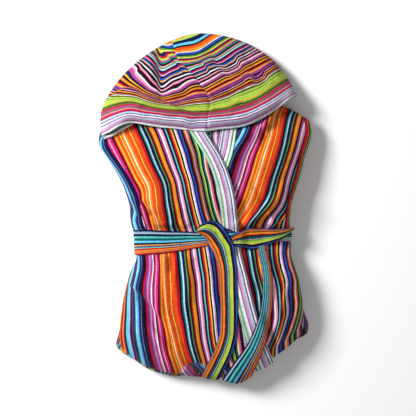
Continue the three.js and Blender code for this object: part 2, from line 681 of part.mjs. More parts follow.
// The belt's way under the bundle, as a path across it: up one side, round two corners and up the other.
function beltPath() {
  const left = leftAt(BELT_AT) - BELT_REACH;
  const right = rightAt(BELT_AT) + BELT_REACH;
  const low = BELT_CLOTH / 2;
  const high = RIM_HEIGHT - RIM_TUCK - 0.6;
  const path = new THREE.CurvePath();
  const at = (x, z) => new THREE.Vector3(x, 0, z);
  const bendLeft = [at(left, BELT_CORNER + low), at(left, low), at(left + BELT_CORNER, low)];
  const bendRight = [at(right - BELT_CORNER, low), at(right, low), at(right, BELT_CORNER + low)];
  path.add(new THREE.LineCurve3(at(left + 1, high), bendLeft[0]));
  path.add(new THREE.QuadraticBezierCurve3(...bendLeft));
  path.add(new THREE.LineCurve3(bendLeft[2], bendRight[0]));
  path.add(new THREE.QuadraticBezierCurve3(...bendRight));
  path.add(new THREE.LineCurve3(bendRight[2], at(right - 1, high)));
  return path;
}

// A stretch of that path, at a list of distances from its left end; below 0 they count from its right end.
function beltStretch(distances) {
  const path = beltPath();
  const length = path.getLength();
  const stations = distances.map((d) => (d < 0 ? length + d : d) / length);
  const sheet = (side) => (u, v, i) => {
    const point = path.getPointAt(stations[i]);
    const way = path.getTangentAt(stations[i]);
    const y = BELT_AT + mix(-1, 1, v) * (BELT_HALF - 3);
    const out = (side * BELT_CLOTH) / 2;
    return [point.x - way.z * out, y, Math.max(0, point.z + way.x * out)];
  };
  return slab(stations.length - 1, 3, sheet(1), sheet(-1));
}

const beltUnder = () => beltStretch([13, 16, 19, 22, 26, 90, 175, -90, -26, -22, -19, -16, -13]);
const beltSideLeft = () => beltStretch([0, 4, 8, 12.4]);
const beltSideRight = () => beltStretch([-12.4, -8, -4, -0.01]);

// Lines through a path's places by the share of its length: x, y and the strip's width.
function pathLines(rows) {
  const reach = [0];
  rows.slice(1).forEach((row, i) => reach.push(reach[i] + Math.hypot(row.x - rows[i].x, row.y - rows[i].y)));
  const stations = rows.map((row, i) => ({ ...row, share: reach[i] / reach[rows.length - 1] }));
  return ["x", "y", "width"].map((column) => smoothColumn(stations, "share", (row) => row[column]));
}

// A tail that hangs down the bundle along a path, its height over the cloth from lift.
function tail(rows, stations, lift, nu = 5) {
  const [xAt, yAt, widthAt] = pathLines(rows);
  const step = 0.01;
  const sheet = (height) => (u, v, i, j) => {
    const t = stations[j];
    const [before, after] = [Math.max(0, t - step), Math.min(1, t + step)];
    const [wayX, wayY] = unit([xAt(after) - xAt(before), yAt(after) - yAt(before)]);
    const aside = (u - 0.5) * widthAt(t);
    const [x, y] = [xAt(t) - wayY * aside, yAt(t) + wayX * aside];
    const [across, along] = sharesOver(x, y);
    const past = Math.max(0, bottomAt(across) - y) / PAST_RIM;
    const round = 1 - 0.35 * Math.abs(2 * u - 1) ** 3;
    const turned = past > 0 ? -1 - (TURNED - 1) * Math.min(1, past) : along;
    return onSkin(across, turned, clothTop(x, y) + lift(x, y) + height * round);
  };
  return slab(nu, stations.length - 1, sheet(BELT_CLOTH), sheet(0));
}

function tailOver() {
  // Over the belt's own stretches, and down behind its upper edge.
  const knotLift = (x, y) => {
    const onBelt = ease((y + 116) / 16) * ease((-38 - y) / 12);
    return BELT_LIFT + (BELT_CLOTH + 2 * SEAM_GAP) * onBelt;
  };
  return tail(TAIL_OVER, [...columnsBetween(0, 0.3, 15), ...tailRows(0.3, 14)], knotLift);
}

// Stations along a tail, crowded together at its lower end.
const tailRows = (start, count) =>
  [...columnsBetween(start, 0.86, count), ...columnsBetween(0.86, 1, 9).slice(1)].filter((t) => t > start || !start);

const tailUnder = () => tail(TAIL_UNDER, tailRows(0, 14), () => BELT_LIFT + 1.4);

// ---- The hood ----
const hoodCrownAt = smoothColumn(HOOD_CROWN, "y", (r) => r.height);
const hoodRimLeft = smoothColumn(HOOD_RIM, "y", (r) => r.left);
const hoodRimRight = smoothColumn(HOOD_RIM, "y", (r) => r.right);

// 0 in the dome's middle, 1 on its outline.
function domeShare(x, y) {
  const d = HOOD_DOME;
  const side = x < d.x ? d.left : d.right;
  const power = x < d.x ? d.leftPower : d.rightPower;
  return ((Math.abs(x - d.x) / side) ** power + (Math.max(0, y - d.y) / d.top) ** power) ** (1 / power);
}

// Brings a place just past the outline back onto it.
function ontoDome(x, y) {
  const d = HOOD_DOME;
  const share = Math.max(1, domeShare(x, y));
  return [d.x + (x - d.x) / share, y > d.y ? d.y + (y - d.y) / share : y];
}

function hoodHeight(x, y, folded = true) {
  const share = clamp(domeShare(x, y));
  const rim = mix(hoodRimLeft(y), hoodRimRight(y), ease((x + 120) / 240));
  const dome = (1 - share ** 4) ** (1 / ROUND_POWER);
  const folds = folded ? HOOD_FOLDS.reduce((sum, fold) => sum + foldHeight(fold, x, y), 0) : 0;
  return mix(rim, hoodCrownAt(y), dome) + folds * ease(dome * 1.5);
}

const grain = (of) => smoothColumn(HOOD_GRAIN, "rise", of);
const seamX = grain((r) => r.seam[0]);
const seamY = grain((r) => r.seam[1]);
const outline = {
  left: { x: grain((r) => r.left[0]), y: grain((r) => r.left[1]), dip: grain((r) => r.dipLeft) },
  right: { x: grain((r) => r.right[0]), y: grain((r) => r.right[1]), dip: grain((r) => r.dipRight) },
};

// A place on a hood half: out from the seam (0) to the outline (1), and up from the brim (0) to the top (1).
function hoodPlan(side, out, rise) {
  const edge = outline[side];
  const start = [seamX(rise) + (side === "left" ? -0.3 : 0.3), seamY(rise)];
  const [ex, ey] = ontoDome(edge.x(rise), edge.y(rise));
  const x = mix(start[0], ex, out);
  const y = mix(start[1], ey, out) + edge.dip(rise) * Math.sin(Math.PI * out) ** 1.5;
  return ontoDome(x, y);
}

// The shares across and along at which the skin is over a place.
function sharesOver(x, y) {
  let [across, along] = [0, 0];
  for (let i = 0; i < 8; i++) {
    across = acrossAt(x, along);
    along = alongAt(y, across);
  }
  return [across, along];
}

// The height of the front cloth's outside at a place.
function frontHeight(x, y) {
  const [across, along] = sharesOver(x, y);
  return onSkin(across, along, clothTop(x, y))[2];
}

// The brim turns down and lies on the fronts, and stands open at its left tip.
function brimDrop(x, y, rise) {
  const down = Math.max(0, hoodHeight(x, y) - TERRY - BRIM_REST - frontHeight(x, y));
  const closed = ease((x + 196) / 50) * ease((185 - x) / 40);
  return Math.min(down, BRIM_TURN) * closed * (1 - Math.min(1, rise / 0.09)) ** 1.7;
}

function hoodHalf(side) {
  const sheet = (drop) => (u, v, i, j) => {
    const out = 1 - crowd(1 - u, 0.12);
    const rise = j < 4 ? HOOD_TURN_ROWS[j] : mix(HOOD_TURN_ROWS[3], 1, 1 - crowd(1 - (j - 3) / 12, 0.6));
    const [x, y] = hoodPlan(side, out, rise);
    const share = clamp(domeShare(x, y));
    const inward = drop * share ** 6 * 0.8;
    const d = HOOD_DOME;
    const way = Math.hypot(x - d.x, Math.max(0, y - d.y)) || 1;
    const px = x - ((x - d.x) / way) * inward;
    const py = y - (Math.max(0, y - d.y) / way) * inward;
    return [px, py, hoodHeight(x, y) - drop - brimDrop(x, y, rise)];
  };
  return slab(14, 15, sheet(0), sheet(TERRY));
}

// The hood's own hidden layers, from the shoulders to the dome's outline.
function hoodLayers() {
  const span = { left: -198, right: 186 };
  const low = (x) => {
    const p = clamp((x + 240) / 240 - 1, -1, 1);
    return topAt(p) + 7;
  };
  const high = (x) => {
    const d = HOOD_DOME;
    const side = x < d.x ? d.left : d.right;
    const power = x < d.x ? d.leftPower : d.rightPower;
    return d.y + d.top * (1 - clamp(Math.abs(x - d.x) / (side - 6)) ** power) ** (1 / power) - 6;
  };
  const plan = (u, v) => {
    const x = mix(span.left, span.right, crowdBoth(u) * 0.5 + u * 0.5);
    return [x, mix(low(x), high(x), 1 - crowd(1 - v, 0.3))];
  };
  const top = (u, v) => {
    const [x, y] = plan(u, v);
    const edge = ease(Math.min(1, v * 3));
    return [x, y, Math.max(12.6, mix(24, hoodHeight(x, y, false) - TERRY - HOOD_ROOM - 7, edge))];
  };
  const bottom = (u, v) => {
    const [x, y] = plan(mix(0.03, 0.97, u), mix(0.06, 0.94, v));
    return [x, y, 0];
  };
  return slab(14, 6, top, bottom, HOOD_EDGE.map((row) => edgeRow(row)));
}

// The turned edge of the brim, which shows under its left end.
function brimLip() {
  const outer = smoothColumn(BRIM_LIP, "x", (r) => r.outer);
  const inner = smoothColumn(BRIM_LIP, "x", (r) => r.inner);
  const sheet = (height) => (u, v) => {
    const x = mix(BRIM_LIP[0].x, BRIM_LIP[4].x, u);
    const y = mix(outer(x), inner(x), v);
    const lying = frontHeight(x, y) + SEAM_GAP + 0.4;
    const under = hoodHeight(x, y) - 2 * TERRY - 2.4;
    return [x, y, Math.max(lying, mix(lying, under, ease(v * 1.15))) + height];
  };
  return slab(8, 4, sheet(TERRY), sheet(0));
}

// ---- The gown ----
const COLOURS = {
  terry: { color: 0xd8572a, roughness: 0.95 },
  inside: { color: 0x9c8fae, roughness: 0.95 },
  layers: { color: 0x6fb7c9, roughness: 0.95 },
  band: { color: 0xb784b4, roughness: 0.95 },
  belt: { color: 0x8fae3e, roughness: 0.95 },
};

const PIECES = [
  { name: "folded_layers", make: foldedLayers, colour: "layers" },
  { name: "hood_layers", make: hoodLayers, colour: "layers" },
  { name: "front_over", make: frontOver, colour: "terry" },
  { name: "front_under", make: frontUnder, colour: "terry" },
  { name: "band_over", make: bandOver, colour: "band" },
  { name: "band_under", make: bandUnder, colour: "band" },
  { name: "back_neck", make: backNeck, colour: "inside" },
  { name: "sleeve_left", make: () => sleeve(-1), colour: "terry" },
  { name: "sleeve_right", make: () => sleeve(1), colour: "terry" },
  { name: "hood_left", make: () => hoodHalf("left"), colour: "terry" },
  { name: "hood_right", make: () => hoodHalf("right"), colour: "terry" },
  { name: "brim_lip", make: brimLip, colour: "inside" },
  { name: "belt_left", make: beltLeft, colour: "belt" },
  { name: "belt_right", make: beltRight, colour: "belt" },
  { name: "belt_turn", make: beltTurn, colour: "belt" },
  { name: "belt_under", make: beltUnder, colour: "belt" },
  { name: "belt_side_left", make: beltSideLeft, colour: "belt" },
  { name: "belt_side_right", make: beltSideRight, colour: "belt" },
  { name: "tail_over", make: tailOver, colour: "belt" },
  { name: "tail_under", make: tailUnder, colour: "belt" },
];

const gown = new THREE.Group();
for (const piece of PIECES) {
  const material = new THREE.MeshStandardMaterial({ metalness: 0, ...COLOURS[piece.colour] });
  const mesh = new THREE.Mesh(piece.make(), material);
  mesh.name = piece.name;
  gown.add(mesh);
}

export default gown;
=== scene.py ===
"""A hooded terry dressing gown, folded into a bundle and tied with its own belt.

Lengths in the tables and functions are millimetres; every mesh is made in metres. A place on the bundle's
skin is a share across (-1 left, 1 right) and a share along (-1 hem fold, 1 shoulders).
"""

import math

import bpy
import numpy as np
from bpy.props import FloatProperty, FloatVectorProperty, PointerProperty
from bpy.types import Operator, Panel, PropertyGroup
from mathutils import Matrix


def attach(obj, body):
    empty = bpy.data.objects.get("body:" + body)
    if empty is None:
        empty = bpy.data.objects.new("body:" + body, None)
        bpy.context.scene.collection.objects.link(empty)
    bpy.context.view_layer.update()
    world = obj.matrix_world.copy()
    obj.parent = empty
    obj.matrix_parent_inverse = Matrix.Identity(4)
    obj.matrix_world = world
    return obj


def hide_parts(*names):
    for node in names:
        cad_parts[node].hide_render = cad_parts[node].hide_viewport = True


bl_info = {
    "name": "Folded hooded dressing gown",
    "version": (1, 0, 0),
    "blender": (4, 5, 0),
    "location": "3D View > Sidebar > Gown",
    "description": "Striped terry gown, folded and tied with its own belt",
    "category": "Object",
}

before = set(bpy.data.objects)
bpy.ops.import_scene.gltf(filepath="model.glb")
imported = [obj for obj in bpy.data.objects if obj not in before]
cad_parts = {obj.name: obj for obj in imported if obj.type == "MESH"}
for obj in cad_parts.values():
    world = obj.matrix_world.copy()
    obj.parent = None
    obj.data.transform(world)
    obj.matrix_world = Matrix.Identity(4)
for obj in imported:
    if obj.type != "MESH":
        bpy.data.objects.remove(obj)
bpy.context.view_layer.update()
MM = 0.001

# ---- Sizes of the cloth and of the bundle, as in the frame ----
TERRY = 2.6  # one layer of cloth
SEAM_GAP = 0.6  # between two layers that lie on each other
BAND_CLOTH = 2.2
BAND_WIDTH = 30
BELT_CLOTH = 4.2
RIM_HEIGHT = 30  # of the bundle's widest line
CURL = 7.0  # how widely an edge curls in below the rim
LAP_LIFT = 6.6  # how far the upper front stands off, near its edge
LAP_WIDTH = 70
LAP_EASE = 45
CORNER_ROUND = 0.04
SIDE_POWER = 5
END_POWER = 6
ROUND_POWER = 2.2
SLEEVE_END = -72
FRONT_WIDENS = -104  # below this the fronts reach the rim
TURNED = 1.1  # the share at which the cloth has turned in under the rim
TURN_UNDER = 80  # degrees
FOLD_FADE = 14
FOLD_UNDER_BELT = 0.12
FOLD_HEIGHT = 1.45
BELT_LIFT = 1.0
BELT_AT = -78
BELT_HALF = 24
BELT_CHANNEL = 5.4
CINCH = 2.5  # how far the belt sinks into the cloth
UNDERSIDE_CLOTH = 2.4
RESTS_AT = 0.05  # how high the lowest cloth lies over the floor
DOWN = (0, 0, -1)


def table(columns, *rows):
    """Rows of numbers under named columns."""
    return {name: np.array([row[k] for row in rows], float) for k, name in enumerate(columns.split())}


SIDES = table(
    "y left right",
    (200, -233, 238), (165, -238, 237), (140, -235, 229), (110, -214, 218), (75, -190, 209),
    (40, -173, 198), (0, -162, 187), (-35, -158, 184), (-75, -147, 185), (-112, -148, 190),
    (-150, -163, 203), (-200, -176, 214), (-260, -186, 222), (-315, -194, 227),
)
CROWN = table(
    "y height",
    (240, 46), (190, 60), (140, 71), (80, 77), (20, 74), (-35, 61), (-78, 52), (-120, 62), (-170, 75),
    (-250, 78), (-320, 72), (-390, 64),
)
ENDS = table(
    "share top bottom",
    (-1, 166, -312), (-0.85, 186, -335), (-0.65, 204, -357), (-0.4, 223, -368), (-0.15, 233, -370),
    (0.05, 235, -377), (0.25, 236, -377), (0.45, 234, -359), (0.65, 226, -334), (0.85, 210, -307),
    (1, 190, -280),
)
FRONT_EDGE = table(
    "y x",
    (235, -44), (165, -4), (102, 35), (70, 49), (14, 63), (-46, 70), (-90, 74), (-164, 91), (-255, 115),
    (-345, 146),
)
UNDER_EDGE = table("y x", (235, 56), (168, 40), (119, 31), (70, 16), (10, 2), (-90, -4), (-345, 60))
SLEEVE_SHOWS = table(
    "y left right",
    (200, 48, 10), (154, 33, 10), (135, 15, 10), (118, 10, 10), (80, 12, 9), (25, 18, 8), (-13, 22, 8),
    (-62, 24, 9),
)
# Folds: from a place, to a place, how far the line bows to its left, its height, and its width to each side.
FOLD_COLUMNS = "x0 y0 x1 y1 bow height left right"
FRONT_FOLDS = table(
    FOLD_COLUMNS,
    (-44, 150, 8, -30, -6, 5, 16, 11), (-24, 150, 24, -34, -5, -3, 10, 10),
    (-150, 120, -80, -20, 8, 4, 34, 30), (-160, 30, -92, -46, -5, 7, 13, 8),
    (-60, 0, -42, -48, 2, 3.5, 10, 9), (-146, -215, -52, -332, -12, 7, 16, 9),
    (-92, -112, -98, -225, -5, 6, 9, 14), (-136, -118, -156, -240, -7, 5, 12, 9),
    (-40, -108, -34, -210, 3, 5, 10, 10), (4, -108, 22, -260, 4, 5, 12, 9),
    (-66, -150, -20, -345, 6, 4, 18, 14), (104, 176, 56, 88, -5, 6, 11, 18),
    (112, 148, 150, 192, 3, 6, 10, 9), (168, 140, 120, 20, -8, 4, 30, 30),
    (168, 34, 82, -38, 12, 9, 12, 16), (188, 4, 132, -44, 6, 5, 10, 10),
    (112, -108, 118, -190, 4, -4, 9, 9), (168, -190, 150, -325, 8, 6, 15, 12),
    (196, -120, 206, -270, 3, 4, 12, 10),
)
# Sharper creases over those folds: where the belt gathers the cloth, at the neck and along the sides.
CREASES = table(
    FOLD_COLUMNS,
    (-138, 8, -128, -50, 2, 2.4, 5, 6), (-118, -14, -112, -52, -2, -2.2, 4, 5),
    (-76, -6, -70, -52, 3, 2.6, 5, 5), (-44, 20, -36, -52, 2, 2.2, 6, 7),
    (-26, 40, -22, -50, 1, -2.2, 5, 5), (88, 8, 78, -50, 3, -2.6, 5, 5),
    (104, -2, 96, -50, -3, 2.6, 5, 6), (140, -12, 150, -50, 2, 2, 5, 5),
    (164, -18, 170, -50, 2, -2, 4, 5), (-132, -106, -126, -150, 2, -2.4, 4, 5),
    (-112, -106, -118, -172, -3, 2.6, 5, 6), (-76, -106, -72, -146, 2, -2.6, 5, 4),
    (-60, -104, -64, -190, -3, 2.6, 5, 6), (-22, -104, -16, -150, 2, -2.2, 4, 5),
    (140, -104, 150, -176, 4, 2.4, 6, 5), (158, -102, 168, -150, 3, -2.2, 5, 5),
    (176, -100, 188, -172, 4, 2.2, 5, 5), (-200, 104, -150, 6, 6, 2.6, 7, 6),
    (-186, 60, -132, -36, -4, -2.2, 6, 5), (-120, 60, -96, 0, 4, 1.8, 9, 8),
    (60, 66, 74, -4, -4, 2.4, 8, 6), (96, 60, 130, -10, 6, -2.4, 7, 8),
    (122, 176, 128, 128, 4, -2.8, 6, 6), (92, 150, 118, 172, -2, 2.4, 6, 5),
    (-126, -250, -92, -322, -6, -3, 6, 7), (-176, -250, -150, -326, 4, 2.6, 7, 8),
    (-100, -290, -66, -352, -4, 2.4, 7, 6), (-44, -300, -30, -362, 3, -2.4, 6, 6),
    (132, -262, 158, -330, 5, -3, 6, 7), (182, -210, 190, -290, 3, 2.2, 6, 6),
    (72, -230, 84, -330, 3, 2, 8, 7),
)

# How the weave runs in each front: a line of it as x at y, and how much cloth is gathered in to each side.
OVER_WEAVE = table(
    "y line left right",
    (220, -197, 1.0, 1.0), (170, -181, 1.0, 1.0), (120, -158, 1.0, 1.05), (70, -131, 1.0, 1.18),
    (35, -113, 1.05, 1.2), (0, -107, 1.15, 1.16), (-50, -97, 1.25, 1.1), (-100, -84, 1.35, 1.1),
    (-140, -79, 1.3, 1.1), (-180, -76, 1.2, 1.1), (-240, -69, 1.1, 1.1), (-310, -59, 1.0, 1.1),
    (-380, -42, 1.0, 1.05),
)
UNDER_WEAVE = table(
    "y line left right",
    (230, 190, 1.35, 1.2), (170, 175, 1.35, 1.15), (110, 159, 1.1, 1.13), (60, 143, 1.05, 1.05),
    (20, 130, 1.0, 0.96), (-10, 112, 1.0, 0.84), (-40, 92, 1.0, 0.8), (-75, 86, 1.0, 0.9),
    (-110, 91, 1.0, 1.0), (-160, 100, 1.0, 1.0), (-210, 109, 1.0, 1.0), (-260, 111, 1.0, 1.0),
    (-310, 99, 1.0, 1.0), (-380, 70, 1.0, 1.0),
)
# Laps: a fold whose edge lies over the cloth beside it, from its free end to where it is held. It stands up
# to its height at its edge, slopes away over its width on the side that the width's sign gives (a positive
# one to the right), and hides some cloth.
LAP_COLUMNS = "x0 y0 x1 y1 bow height width hidden"
FRONT_LAPS = table(
    LAP_COLUMNS,
    (-150, 22, -86, -52, 5, 4.6, 17, 8), (-184, 70, -146, 8, -4, 3.0, -13, 5),
    (-52, -350, -92, -104, 10, 4.4, 15, 9), (-78, -284, -150, -184, -9, 4.2, 14, 6),
    (-160, -204, -150, -104, -4, 2.6, -11, 4), (-24, -172, -38, -104, 5, 2.8, -10, 4),
    (101, 136, 150, 206, 6, 4.0, 12, 4), (140, 150, 160, 206, 7, 3.8, -14, 4),
    (136, 20, 80, -50, 5, 4.6, 17, 6), (192, 22, 124, -52, 17, 5.4, 22, 5),
    (202, -170, 176, -100, 5, 2.8, 10, 3), (160, -322, 170, -196, 6, 3.2, 13, 4),
)
LAP_STEP = 1.6  # how steeply a lap's edge drops
LAP_TUCK = 1.3  # and how sharply the stripes go in under it
LAP_REACH = 42  # how far beside it the cloth is drawn aside
LAP_HEIGHT = 1.45
CREASE_DEPTH = 1.6

BELT_TOP_LEFT = table(
    "x top bottom",
    (-160, -52, -109), (-120, -52, -107), (-78, -54, -103), (-21, -55, -94), (30, -54, -86),
)
BELT_TOP_RIGHT = table(
    "x top bottom",
    (53, -73, -86), (59, -70, -88), (64, -63, -90), (73, -57, -92), (86, -51, -94), (103, -48, -96),
    (126, -48, -90), (148, -49, -80), (168, -49, -70), (187, -47, -50),
)
BELT_BEHIND = table(
    "x top bottom",
    (36, -43, -60), (50, -45, -74), (60, -49, -68), (68, -52, -60), (75, -54, -56),
)
BELT_TURN = table("x top bottom", (160, -50, -77), (175, -50, -78), (200, -53, -76))
# The upper tail by its two edges, from where it comes over the belt, and the lower one by its middle line.
TAIL_OVER = table(
    "outer_x outer_y inner_x inner_y",
    (-17, -49, -19, -53), (-12, -41, -14, -55), (0, -33, -8, -58), (12, -28.5, -3, -62),
    (25, -31, 1, -66), (40, -41, 4, -72), (50, -55, 7, -79), (58, -73, 11, -91), (64, -92, 19, -106),
    (67, -118, 28, -128), (70, -146, 32, -150), (70.5, -185, 33, -187), (71.5, -225, 34.5, -225),
    (71, -270, 34, -267), (62, -313, 26, -302), (46, -351, 12, -334), (22, -398, -11, -381),
)
TAIL_UNDER = table(
    "x y width",
    (126, -90, 17), (127, -102, 18), (134, -136, 20), (137, -178, 21), (134, -220, 23), (122, -269, 30),
    (106, -308, 35), (84, -346, 41), (58, -388, 44),
)
PAST_RIM = 13  # a tail that reaches this far past the hem fold is turned in under it

# The hood: rows of its grain, from the brim up. cloth is how far each lies from the brim over the cloth.
HOOD_GRAIN = table(
    "rise seam_x seam_y left_x left_y left_dip left_puff right_x right_y right_dip cloth",
    (0, 7, 165, -224, 151, 14, 20, 205, 246, -22, 0),
    (0.12, 6, 186, -230, 176, 11, 17, 201, 262, -20, 22),
    (0.25, 9, 204, -228, 207, 4, 18, 192, 283, -16, 45),
    (0.36, 12, 218, -220, 231, -8, 13, 180, 301, -10, 66),
    (0.5, 6, 243, -197, 271, -24, 5, 156, 325, -2, 100),
    (0.6, -8, 264, -176, 301, -32, 0, 134, 343, 0, 128),
    (0.72, -27, 291, -152, 329, -26, 0, 101, 361, -6, 162),
    (0.86, -58, 322, -124, 352, -11, 0, 58, 376, -12, 205),
    (0.94, -67, 347, -100, 366, -3, 0, 20, 383, -6, 232),
    (1, -71, 367.5, -76, 363.5, 0, 0, -60, 372, 0, 256),
)
# The hood's outline: a rounded arch over its middle, with a side and a power to the left and to the right.
HOOD_X, HOOD_Y, HOOD_TOP = -12, 200, 185
HOOD_SIDES = {"left": 218, "right": 221}
HOOD_POWERS = {"left": 1.58, "right": 2.02}
HOOD_CROWN = table(
    "y height",
    (150, 87), (175, 89), (205, 88), (245, 79), (290, 65), (340, 50), (390, 38),
)
HOOD_RIM = table(
    "y left right",
    (150, 47, 56), (175, 44, 56), (200, 34, 51), (225, 23, 42), (250, 18, 31), (275, 17, 21),
    (300, 17, 17), (390, 17, 17),
)
HOOD_FOLDS = table(
    FOLD_COLUMNS,
    (-101, 364, -93, 240, 0, -9, 9, 14), (-168, 306, -138, 262, 4, 5, 20, 24),
    (-78, 300, -60, 250, 0, 3, 14, 16), (10, 214, -66, 352, 10, 2.5, 7, 9),
    (-14, 300, 34, 292, -4, 4, 10, 12), (16, 313, 70, 299, 4, -6, 8, 9),
    (60, 284, 104, 276, -3, 4, 10, 11), (72, 296, 132, 278, 4, -6, 8, 9),
    (14, 182, 188, 246, -8, 4, 16, 18), (-214, 186, -20, 178, 12, 4, 16, 18),
)
HOOD_CREASES = table(
    FOLD_COLUMNS,
    (-98, 348, -44, 296, 4, -3.4, 4, 5), (-130, 348, -116, 276, 4, 3, 8, 7),
    (-156, 330, -128, 306, 3, -2, 6, 6), (-188, 274, -130, 262, 10, -2.6, 6, 7),
    (-76, 262, -30, 244, -4, -3, 6, 7), (-60, 232, -14, 226, 4, -2.6, 5, 6),
    (-34, 292, -20, 276, 2, 2.2, 6, 6), (20, 262, 84, 250, 4, 2.6, 9, 8),
    (20, 236, 70, 246, -3, -2.4, 5, 6), (120, 326, 164, 286, 5, 2.4, 9, 8),
    (88, 340, 118, 306, -4, -2.4, 7, 8), (-20, 352, 50, 344, 5, 2.2, 9, 9),
    (150, 268, 184, 262, 3, -2.2, 6, 6), (-196, 214, -130, 224, -5, 2.4, 7, 7),
    (-118, 200, -60, 190, 4, -2.2, 6, 6), (-60, 196, 0, 190, 3, -2.4, 6, 7),
    (60, 196, 120, 216, 4, -2.2, 6, 7),
)
# Where the hood's stripes stray from their grain, by how far across them.
HOOD_SWAYS = table(
    FOLD_COLUMNS,
    (-102, 362, -93, 244, 0, 10, 7, 17), (-99, 348, -48, 300, 4, -5, 5, 12),
    (-62, 262, -40, 240, 0, 4, 14, 14), (2, 306, 22, 318, 0, -11, 16, 16),
    (44, 298, 74, 314, 0, 13, 18, 18), (108, 276, 132, 288, 0, 9, 12, 12),
    (84, 280, 100, 288, 0, -4, 12, 12), (-170, 322, -150, 300, 0, -5, 16, 16),
    (60, 226, 80, 232, 0, -3, 12, 12), (-40, 182, -20, 180, 0, 2.5, 12, 12),
)
# The tuck over the brim's roll: the roll stands up below this line and hides some of the cloth above.
HOOD_TUCK = table(
    "x y hidden",
    (-226, 222, 0), (-208, 240, 4), (-188, 256, 9), (-172, 260, 12), (-155, 257, 15), (-135, 246, 19),
    (-100, 234, 17), (-80, 224, 13), (-60, 215, 8), (-22, 204, 2), (20, 203, 0),
)
ROLL_HEIGHT = 5.5  # how far the roll stands over the tuck
ROLL_WIDTH = 24
TUCK_DEPTH = 4.5
TUCK_WIDTH = 15
BRIM_TURN = 13
BRIM_LIP = table(
    "x outer inner",
    (-222, 147, 160), (-204, 151, 167), (-186, 162, 178), (-172, 170, 184), (-158, 178, 187),
)

HEM_ROLL = table(
    "x outer inner",
    (-50, -371, -366), (-42, -374, -352), (-30, -377, -345), (-16, -379, -344), (-4, -380, -349),
    (4, -381, -360),
)

# ---- Yarns, and the order in which they are woven, each with its width ----
YARNS = {
    "orange_red": "e8501c",
    "orange": "f28a28",
    "golden": "efae2a",
    "yellow": "e6dc56",
    "lime": "a9cf4f",
    "green": "5c9a45",
    "olive": "6d6a2e",
    "teal": "12706f",
    "turquoise": "57c9b8",
    "sky": "62c4ea",
    "ice": "b5dcee",
    "royal": "2552b4",
    "navy": "15184a",
    "purple": "5e3a80",
    "lilac": "c8a2d4",
    "mauve": "a8468e",
    "magenta": "cc2476",
    "crimson": "c1142f",
    "slate": "5f7189",
    "pink": "f094b2",
    "coral": "ef6c56",
    "cream": "f4ead0",
    "white": "f4f0f6",
    "aubergine": "2c0a1e",
    "black": "0b090f",
}
WEAVE = {
    "edge": "olive 3, teal 4, ice 2.5, navy 5, purple 3, crimson 5, aubergine 5, golden 2.5, orange 3,"
    " aubergine 3, navy 5, sky 2.5, royal 3, black 3.5, green 4, turquoise 2, purple 4",
    "cool": "navy 5, lilac 3, white 3.5, aubergine 7, mauve 2, coral 4, cream 2.5, teal 4, black 4,"
    " lime 3, green 3, navy 5, coral 4, cream 3, orange_red 3, aubergine 5, royal 4, navy 4, lilac 3,"
    " white 3, black 4",
    "mixed": "golden 3, crimson 4, aubergine 4, turquoise 3, navy 5, pink 4, white 3.5, mauve 4,"
    " aubergine 4, orange 4, golden 3, crimson 3, black 3, green 3, navy 6, ice 3, teal 3, black 4,"
    " crimson 5, orange_red 3",
    "hot": "orange_red 7, yellow 2, orange_red 8, orange 4, cream 2.5, orange 3, orange_red 2,"
    " yellow 1.5, orange_red 6, golden 4, crimson 3, black 3",
    "berry": "magenta 5, pink 2.5, magenta 3.5, aubergine 3, white 2.5, pink 2, mauve 5, lilac 2.5,"
    " mauve 3, purple 3, crimson 5, aubergine 5",
    "sea": "navy 7, slate 2.5, black 3, royal 3, sky 5, ice 2.5, teal 4, navy 3, purple 4, aubergine 5,"
    " lilac 2.5, sky 6, turquoise 3, navy 6, crimson 3, orange 4, aubergine 3",
    "flag": "crimson 5, orange 2.5, aubergine 4, lime 3, teal 4, navy 5, cream 2.5, orange_red 6,"
    " yellow 2.5, crimson 3, navy 6, pink 3, mauve 4, black 4, green 4, white 2.5, purple 3, royal 4,"
    " aubergine 5",
    "sky": "sky 12, ice 3, royal 4, navy 6, turquoise 3, black 3",
    "pale": "turquoise 2, cream 3, lime 2, turquoise 2, white 5, mauve 2.5, lilac 3, pink 2, ice 4,"
    " mauve 2.5, white 3, purple 2.5, ice 3, mauve 2, crimson 3.5, pink 2, olive 3, mauve 3, crimson 3,"
    " olive 3, aubergine 2, green 3, golden 2.5, lime 8, yellow 2, green 3, lime 4, olive 2, black 2,"
    " cream 2, teal 2.5, crimson 3, black 2.5, golden 2.5, aubergine 3, pink 2.5, navy 4, mauve 3,"
    " black 2",
    "crown": "mauve 4, golden 4, crimson 3, aubergine 5, orange 5, black 4, golden 3, navy 5, mauve 5,"
    " pink 3, white 2.5, aubergine 6, pink 4, black 5, white 2.5, navy 6, golden 3, royal 4, black 4,"
    " lilac 3, crimson 3, navy 6, ice 3, green 4, pink 3, black 4, teal 4, mauve 4, lime 4, crimson 4,"
    " navy 4, yellow 2.5, green 4, black 3, royal 5, cream 2, orange 6, orange_red 5, black 3, sky 4,"
    " navy 5, lime 5, orange 6, golden 3, teal 4, sky 6, navy 5, ice 3, orange_red 6, sky 6, purple 4,"
    " lime 5",
    "belt": "purple 2, orange 4, black 2, orange 5, crimson 2, black 3, teal 2, navy 3, lilac 1.5,"
    " green 3, lime 7, yellow 2, black 2, navy 4.5, royal 3, navy 2.5",
    "round": "navy 3, ice 3, slate 1.5, navy 4, turquoise 4, teal 3, black 2, sky 5, navy 4, golden 2,"
    " purple 3, turquoise 2, crimson 3, orange 5.5, crimson 2, black 1",
}
RAMP_STOPS = 30  # a colour ramp holds 32 at most
# How fine the stripes' uneven edges, the nap's streaks and its soft patches are, to the metre.
STRAY_GRAIN = (600, 420, 1)
STREAK_GRAIN = (460, 190, 1)
PATCH_GRAIN = 38.0


